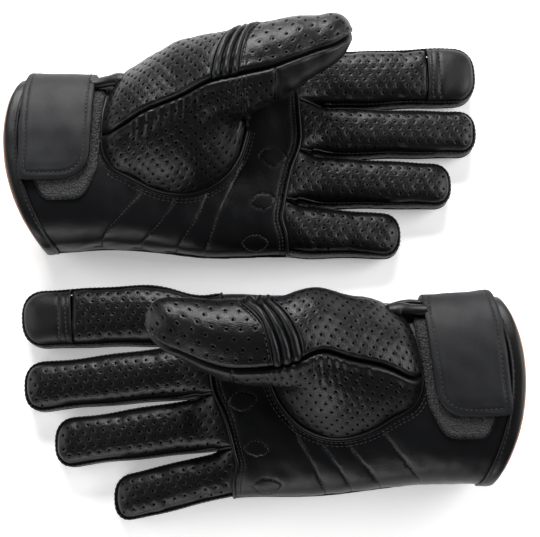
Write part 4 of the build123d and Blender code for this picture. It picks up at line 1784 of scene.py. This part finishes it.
def underside_piece(glove, cut):
    low_end, last = cut.low_end, cut.last
    under = [(s, 0.0) for s in np.linspace(low_end, last, 90)]
    under += [(s, -cut.minus(s)) for s in np.linspace(last, low_end, 90)[1:]]
    under += [(low_end, -t * cut.minus(low_end)) for t in np.linspace(0, 1, 120)[::-1][1:-1]]
    made = panel(np.array(under), cut.wrap, 1.3, rise=cut.creased, hidden=cut.buried)
    glove.piece("thumb_under_leather", [made], "thumb", smooth_leather, "smooth_leather", ["thumb_underside"])


print("padded ribs on each thumb:", RIBS)

# %% [markdown]
# ## Seams of the thumb, and the piping
# Welts cover the joins between panels. The piping rides on the palm: it follows the line where the ball sinks
# into the hand, and hides how the two meet.

# %% The thumb's seams and stitches
def thumb_sewing(glove, cut):
    """The welts beside the ribs, under the thumb and across it, and two rows of stitches."""
    wrap, edge, reach = cut.wrap, cut.edge, cut.reach
    lip = np.array([(edge(-0.5, q), q) for q in np.linspace(1.2, reach(0) - 1, 60)])
    far_lip = np.array([(edge(ZONE + 0.3, q), q) for q in np.linspace(1.2, reach(ZONE) - 1, 60)])
    bottom = np.array([(s, cut.plus(s)) for s in np.linspace(cut.s_of(92), cut.last - 1, 140)])
    bottom = bottom[(hand_depth(wrap(bottom)) > -1) & (wrap(bottom)[:, 2] > LOWEST)]
    across = np.array([(cut.low_end, -q) for q in np.linspace(2, cut.minus(cut.low_end) - 1, 60)])
    seams = []
    welts = [(lip, 0.15, 0.62), (far_lip, 0.0, 0.5), (bottom, -0.1, 0.6), (across, -0.15, 0.45)]
    for row, lift, radius in welts:
        line, up = sewn(wrap, row, lift)
        seams.append(bead(line, radius, up=up))
    glove.piece("thumb_seams", seams, "thumb", side_leather, "smooth_leather")

    beside = np.array([(s, 3.1) for s in np.linspace(cut.s_of(138), cut.last - 2.5, 60)])
    sewing = [stitches(*sewn(wrap, cap_row(cut), 0.0), gap=2.7, length=1.7, thick=0.26)]
    sewing.append(stitches(*sewn(wrap, beside, 0.75), gap=3.3, length=2.0, thick=0.22))
    glove.piece("thumb_stitches", sewing, "thumb", thread, "perforated_leather")


def piping_piece(glove):
    """The piping round the ball, with two rows of stitches on the palm beside it."""
    pattern = hand.nearest(foot_line(glove.side)[:, :2])
    for _ in range(10):
        pattern[1:-1] = (pattern[:-2] + 2 * pattern[1:-1] + pattern[2:]) / 4
    pattern = along_line(pattern, 1.0)
    up = normals_of(hand, pattern)
    outward = offset_line(pattern, 1.0, False) - pattern
    if (outward * (pattern - pattern.mean(0))).sum() < 0:
        outward = -outward
    ridge = bead(hand(pattern + outward * 0.2) + up * 0.55, 0.95, sides=10, up=up)
    second = bead(hand(pattern + outward * 1.55) + up * 0.15, 0.42, up=up)
    replaced = ["thenar_piping"]
    glove.piece("ball_piping", [ridge, second], "palm", binding_leather, "smooth_leather", replaced)
    rows = [sewn(hand, pattern + outward * by, -0.02) for by in (2.7, 4.2)]
    sewing = [stitches(line, up, gap=2.3, length=1.5, thick=0.24) for line, up in rows]
    glove.piece("ball_stitches", sewing, "palm", thread, "smooth_leather")


def thumb_pieces(glove):
    cut = ThumbCut(glove)
    for make in (ball_pieces, rib_piece, cap_piece, underside_piece, thumb_sewing):
        make(glove, cut)
    piping_piece(glove)


print("the valley seam gathers most at x", PUCKERED)

# %% [markdown]
# ## Fingers in leather
# Every finger has a punched front, a plain side wall and a plain back. The seam between front and side wall
# stands proud as a thin ridge that is drawn in by each stitch, and it runs round the tip and into the
# crotches. The index finger's tip is a separate smooth touch panel, joined with a fold and two rows of
# stitches.

# %% The punched front
HOLE_ROWS = 3.45  # between the rows of holes, mm
KNUCKLES = [(0.26, 1), (0.30, -1), (0.55, 1), (0.6, -1)]  # where along a finger it is drawn in, on which side
TOUCH_LENGTH = 26.0


def front_relief(finger, seed):
    """Gentle lumps, hollows where the finger bends, and fine wrinkles."""
    def lumps(pattern):
        at, x, y = level(pattern), pattern[:, 0], pattern[:, 1]
        knuckles = 0
        for share, way in KNUCKLES:
            along = np.exp(-(((x - finger.base - share * finger.length) / 2.2) ** 2))
            side = np.exp(-(((y - finger.middle(x) + way * finger.half(x)) / 6) ** 2))
            knuckles = knuckles + 0.55 * along * side
        some = step_up(ripple(at, 15, seed + 3), -0.1, 0.9)
        wrinkle = 0.09 * np.sin(x / 1.35 + 1.1 * np.sin(y / 3.1 + seed)) * some
        return 0.26 * ripple(at, 17, seed) + 0.06 * ripple(at, 6, seed + 1) - knuckles + wrinkle
    return lumps


def front_holes(finger, seed, last):
    """Rows of holes along the finger, clear of its edges and of the palm's seam."""
    low, high = (130, -4 * HOLE_ROWS), (finger.tip - 2.6, 4 * HOLE_ROWS + 0.1)
    holes = lattice(low, high, 5.1, HOLE_ROWS, seed, 0.16)
    holes[:, 1] += finger.middle(holes[:, 0])
    wide = finger.half(holes[:, 0]) * 0.86
    aside = np.abs(holes[:, 1] - finger.middle(holes[:, 0]))
    keep = (aside < wide) | (holes[:, 0] < finger.base + 6)
    return holes[keep & (holes[:, 0] > seam_x(holes[:, 1]) + 2.2) & (holes[:, 0] < last)]


def front_piece(glove, finger, seed, outline, last):
    holes, rise = front_holes(finger, seed + 2, last), front_relief(finger, seed)
    made = panel(outline, finger.front, 1.2, holes=holes, rise=rise, hole=0.60)
    piece, replaced = f"{finger.name}_front_leather", [f"{finger.name}_front"]
    glove.piece(piece, [made], finger.name, perforated_leather, "perforated_leather", replaced)


print("the index finger's front has", len(front_holes(trial, 0, trial.tip)), "holes")

# %% [markdown]
# ## The touch panel
# The pad is cut from the same outline as the front, so both end on one line across the finger.

# %% The index finger's touch panel
def touch_cut(finger, outline):
    """The outline of the front without the tip, that of the tip, and a maker of lines across the cut."""
    touch = finger.tip - TOUCH_LENGTH
    past = outline[:, 0] > touch
    first, count = int(np.argmax(past)), int(past.sum())
    tip = outline[first : first + count]
    start, end = tip[0][1], tip[-1][1]
    across = lambda far: np.column_stack([np.full(30, touch + far), np.linspace(start, end, 30)])
    tip = np.vstack([[touch, start], tip, [touch, end]])
    return np.vstack([outline[:first], outline[first + count :]]), tip, across


def touch_piece(glove, finger, seed, tip, across):
    creases = [(across(far)[1:-1], 0.7, 0.4) for far in (2.2, 6.0)]
    rise = lambda p: 0.15 * ripple(level(p), 11, seed + 9) + 0.25
    made = panel(tip, finger.front, 1.15, creases=creases, rise=rise, tuck=0.75)
    glove.piece("index_touch_leather", [made], "index", touch_leather, "touch_leather", ["index_touch_tip"])


def touch_sewing(glove, finger, across):
    sewing = []
    for far in (2.2, 6.0):
        row = along_line(across(far)[1:-1], 1.0)
        up = normals_of(finger.front, row)
        sewing.append(stitches(finger.front(row), up, gap=2.3, length=1.5, thick=0.30))
    glove.piece("index_touch_stitches", sewing, "index", thread, "touch_leather")


print("the touch panel is", TOUCH_LENGTH, "mm long")

# %% [markdown]
# ## The side wall
# A strip runs from crotch to tip and back. Its first row is turned in under the ridge as a seam allowance,
# which keeps the seam closed, and the rest arches outwards between front and back.

# %% The side wall
WALL_ROWS = 15
ALLOWANCE = (1.9, 1.3)  # leather turned in at the front seam: how far in, how far down


def wall_path(finger):
    """The wall's path in plan, from inside the palm round the tip and back, and its outward way."""
    begin = [(finger.crotch_up or 151) - 9, (finger.crotch_down or finger.base) - 9]
    xs = [np.linspace(b, finger.axis_end, int((finger.axis_end - b) / 1.3)) for b in begin]
    own = lambda x, way: np.column_stack([x, finger.middle(x) + way * SEAM * finger.half(x)])
    path = along_line(np.vstack([own(xs[0], 1), finger.round_tip(37), own(xs[1][::-1], -1)]), 1.3)
    run = np.gradient(path, axis=0)
    out = np.column_stack([-run[:, 1], run[:, 0]]) / np.linalg.norm(run, axis=1)[:, None]
    if (out * (path - [path[:, 0].mean(), finger.middle(path[:, 0].mean())])).sum() < 0:
        out = -out
    return path, out


def wall_piece(glove, finger, seed, path, out):
    top, low = finger.front(path)[:, 2], finger.rear(path)[:, 2]
    gather = 0.20 * np.sin(np.arange(len(path)) * 1.9) + 0.28 * ripple(finger.front(path), 7, seed + 4)
    allowance = path - out * ALLOWANCE[0]
    columns = [
        np.column_stack([allowance, finger.front(allowance)[:, 2] - ALLOWANCE[1]]),
        np.column_stack([path - out * 0.12, top - 0.15]),  # under the ridge
    ]
    for t in np.linspace(0, 1, WALL_ROWS - 2):
        arch = 4 * t * (1 - t)
        bulge = (1 - SEAM) * finger.half(path[:, 0]) * arch**0.55 - 0.55 + 0.55 * arch**0.3
        bulge += gather * arch**0.5 * (0.4 + abs(t - 0.5))
        bulge -= 1.8 * (1 - step_up(path[:, 0], finger.base - 8, finger.base + 3))
        height = top - 0.5 + (low + 0.5 - top + 0.5) * t
        columns.append(np.column_stack([path + out * bulge[:, None], height]))
    points = np.stack(columns, 1).reshape(-1, 3)
    faces = []
    for k in range(len(path) - 1):
        a, b = k * WALL_ROWS, (k + 1) * WALL_ROWS
        faces += [[a + j, b + j, b + j + 1, a + j + 1] for j in range(WALL_ROWS - 1)]
    piece, replaced = f"{finger.name}_side_leather", [f"{finger.name}_fourchette"]
    glove.piece(piece, [(points, faces)], finger.name, side_leather, "side_leather", replaced)


print("the index finger's wall has", len(wall_path(trial)[0]), "columns")


# %% The back and the ridges
def rear_piece(glove, finger, seed, outline):
    start = 147.5 if finger.base > 147 else finger.base - 1.5
    rise = lambda p: -0.25 + 0.15 * ripple(level(p), 13, seed + 5)
    outline = outline[outline[:, 0] > start] * FLIP
    made = panel(outline, lambda p: finger.rear(p * FLIP), 1.9, rise=rise)
    piece, replaced = f"{finger.name}_back_leather", [f"{finger.name}_back"]
    glove.piece(piece, [made], finger.name, side_leather, "side_leather", replaced)


def ridges(finger, outline, path):
    """The thin ridges along both seams; the front one is drawn in by each stitch."""
    line = along_line(outline[outline[:, 0] > seam_x(outline[:, 1]) + 0.2], 0.6)
    far = np.linalg.norm(np.diff(line, axis=0), axis=1)
    if far.max() > 3:  # start where the outline was opened
        turn = int(far.argmax())
        line = np.vstack([line[turn + 1 :], line[: turn + 1]])
    drawn = 0.60 + 0.11 * np.sin(np.arange(len(line)) * 0.6 * 2 * pi / 2.3)
    front = bead(finger.front(line) + [0, 0, -0.05], drawn)
    return [front, bead(finger.rear(path) + [0, 0, 0.3], 0.5, sides=6)]


def finger_pieces(glove, name):
    finger = Finger(glove.side, name)
    seed = 100 + finger.number * 7
    outline = finger.outline()
    front, last = outline, finger.tip
    if name == "index":
        front, tip, across = touch_cut(finger, outline)
        last = finger.tip - TOUCH_LENGTH - 2.5
        touch_piece(glove, finger, seed, tip, across)
    front_piece(glove, finger, seed, front, last)
    path, out = wall_path(finger)
    wall_piece(glove, finger, seed, path, out)
    rear_piece(glove, finger, seed, outline)
    seams = ridges(finger, outline, path)
    if name == "index":
        seams.append(bead(finger.front(across(-0.1)) + [0, 0, 0.25], 0.55))
        touch_sewing(glove, finger, across)
    glove.piece(f"{name}_seams", seams, name, side_leather, "side_leather")


print("the fingers:", NAMES)

# %% [markdown]
# ## Sewing both gloves
# The same steps make both gloves. Only the pose of the thumb, the spread of the fingers and the seeds differ.

# %% Make the pair
for side in ("left", "right"):
    glove = Glove(side)
    palm_piece(glove)
    back_piece(glove)
    cuff_pieces(glove)
    strap_pieces(glove)
    vent_piece(glove)
    thumb_pieces(glove)
    for name in NAMES:
        finger_pieces(glove, name)
    meshes = [o for o in bpy.data.objects if o.type == "MESH" and "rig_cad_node" not in o]
    mine = [o for o in meshes if o.name.startswith(side)]
    print(side, "glove:", len(mine), "pieces,", sum(len(o.data.polygons) for o in mine), "faces")

# %% [markdown]
# ## Floor and light
# Black leather shows its shape by what it reflects, so the lamps are large and stand to the sides: their soft
# reflections run along the rounded edges and folds. The room's own light is bright near the horizon and dark
# overhead, so that flat leather that faces up stays black. The floor is a plain pale sheet that glows a
# little by itself, which keeps it even and white under such low light.

# %% Studio
FLOOR_SIZE = 4.0
f = Finish("pale floor")
speck = f.noise(40, 2.0)
pale = f.surface(
    Base_Color=f.ramp(speck, [(0.3, grey(0.90)), (0.7, grey(0.93))]),
    Roughness=f.between(speck, 0.75, 0.85),
    Emission_Color=(1, 1, 1, 1),
    Emission_Strength=0.34,
)
half = FLOOR_SIZE / 2
mesh = bpy.data.meshes.new("floor")
mesh.from_pydata([(-half, -half, 0), (half, -half, 0), (half, half, 0), (-half, half, 0)], [], [(0, 1, 2, 3)])
mesh.materials.append(pale)
floor = bpy.data.objects.new("floor", mesh)
bpy.context.scene.collection.objects.link(floor)

print("the floor is", FLOOR_SIZE, "m wide")

# %% Lamps
LAMPS = [  # name, place, width, height, watts
    ("key", (-0.08, 0.88, 0.62), 0.7, 0.45, 19),
    ("right", (0.9, 0.2, 0.6), 0.6, 0.6, 8.5),
    ("front", (-0.35, -1.0, 0.45), 0.9, 0.35, 7),
    ("left", (-0.95, 0.1, 0.5), 0.6, 0.5, 3.5),
]
for name, place, width, height, watts in LAMPS:
    lamp = bpy.data.lights.new(name, "AREA")
    lamp.shape, lamp.size, lamp.size_y, lamp.energy = "RECTANGLE", width, height, watts
    holder = bpy.data.objects.new(name, lamp)
    bpy.context.scene.collection.objects.link(holder)
    holder.location = place
    holder.rotation_mode = "QUATERNION"
    holder.rotation_quaternion = (Vector(place) - AIM).to_track_quat("Z", "Y")
print("lamps:", [lamp[0] for lamp in LAMPS])

# %% The room's light
SKY = [(0.0, 0.42), (0.10, 0.34), (0.34, 0.08), (1.0, 0.05)]  # height, from level to overhead, and how bright
world = bpy.data.worlds.new("studio")
world.use_nodes = True
sky = world.node_tree
way = sky.nodes.new("ShaderNodeTexCoord")
up = sky.nodes.new("ShaderNodeSeparateXYZ")
fade = sky.nodes.new("ShaderNodeValToRGB")
while len(fade.color_ramp.elements) < len(SKY):
    fade.color_ramp.elements.new(0.5)
for element, (height, bright) in zip(fade.color_ramp.elements, SKY):
    element.position, element.color = height, (*grey(bright), 1)
sky.links.new(way.outputs["Generated"], up.inputs["Vector"])
sky.links.new(up.outputs["Z"], fade.inputs["Fac"])
sky.links.new(fade.outputs["Color"], sky.nodes["Background"].inputs["Color"])
bpy.context.scene.world = world
bpy.context.scene.view_settings.view_transform = "Standard"
print("the room's light by height:", SKY)
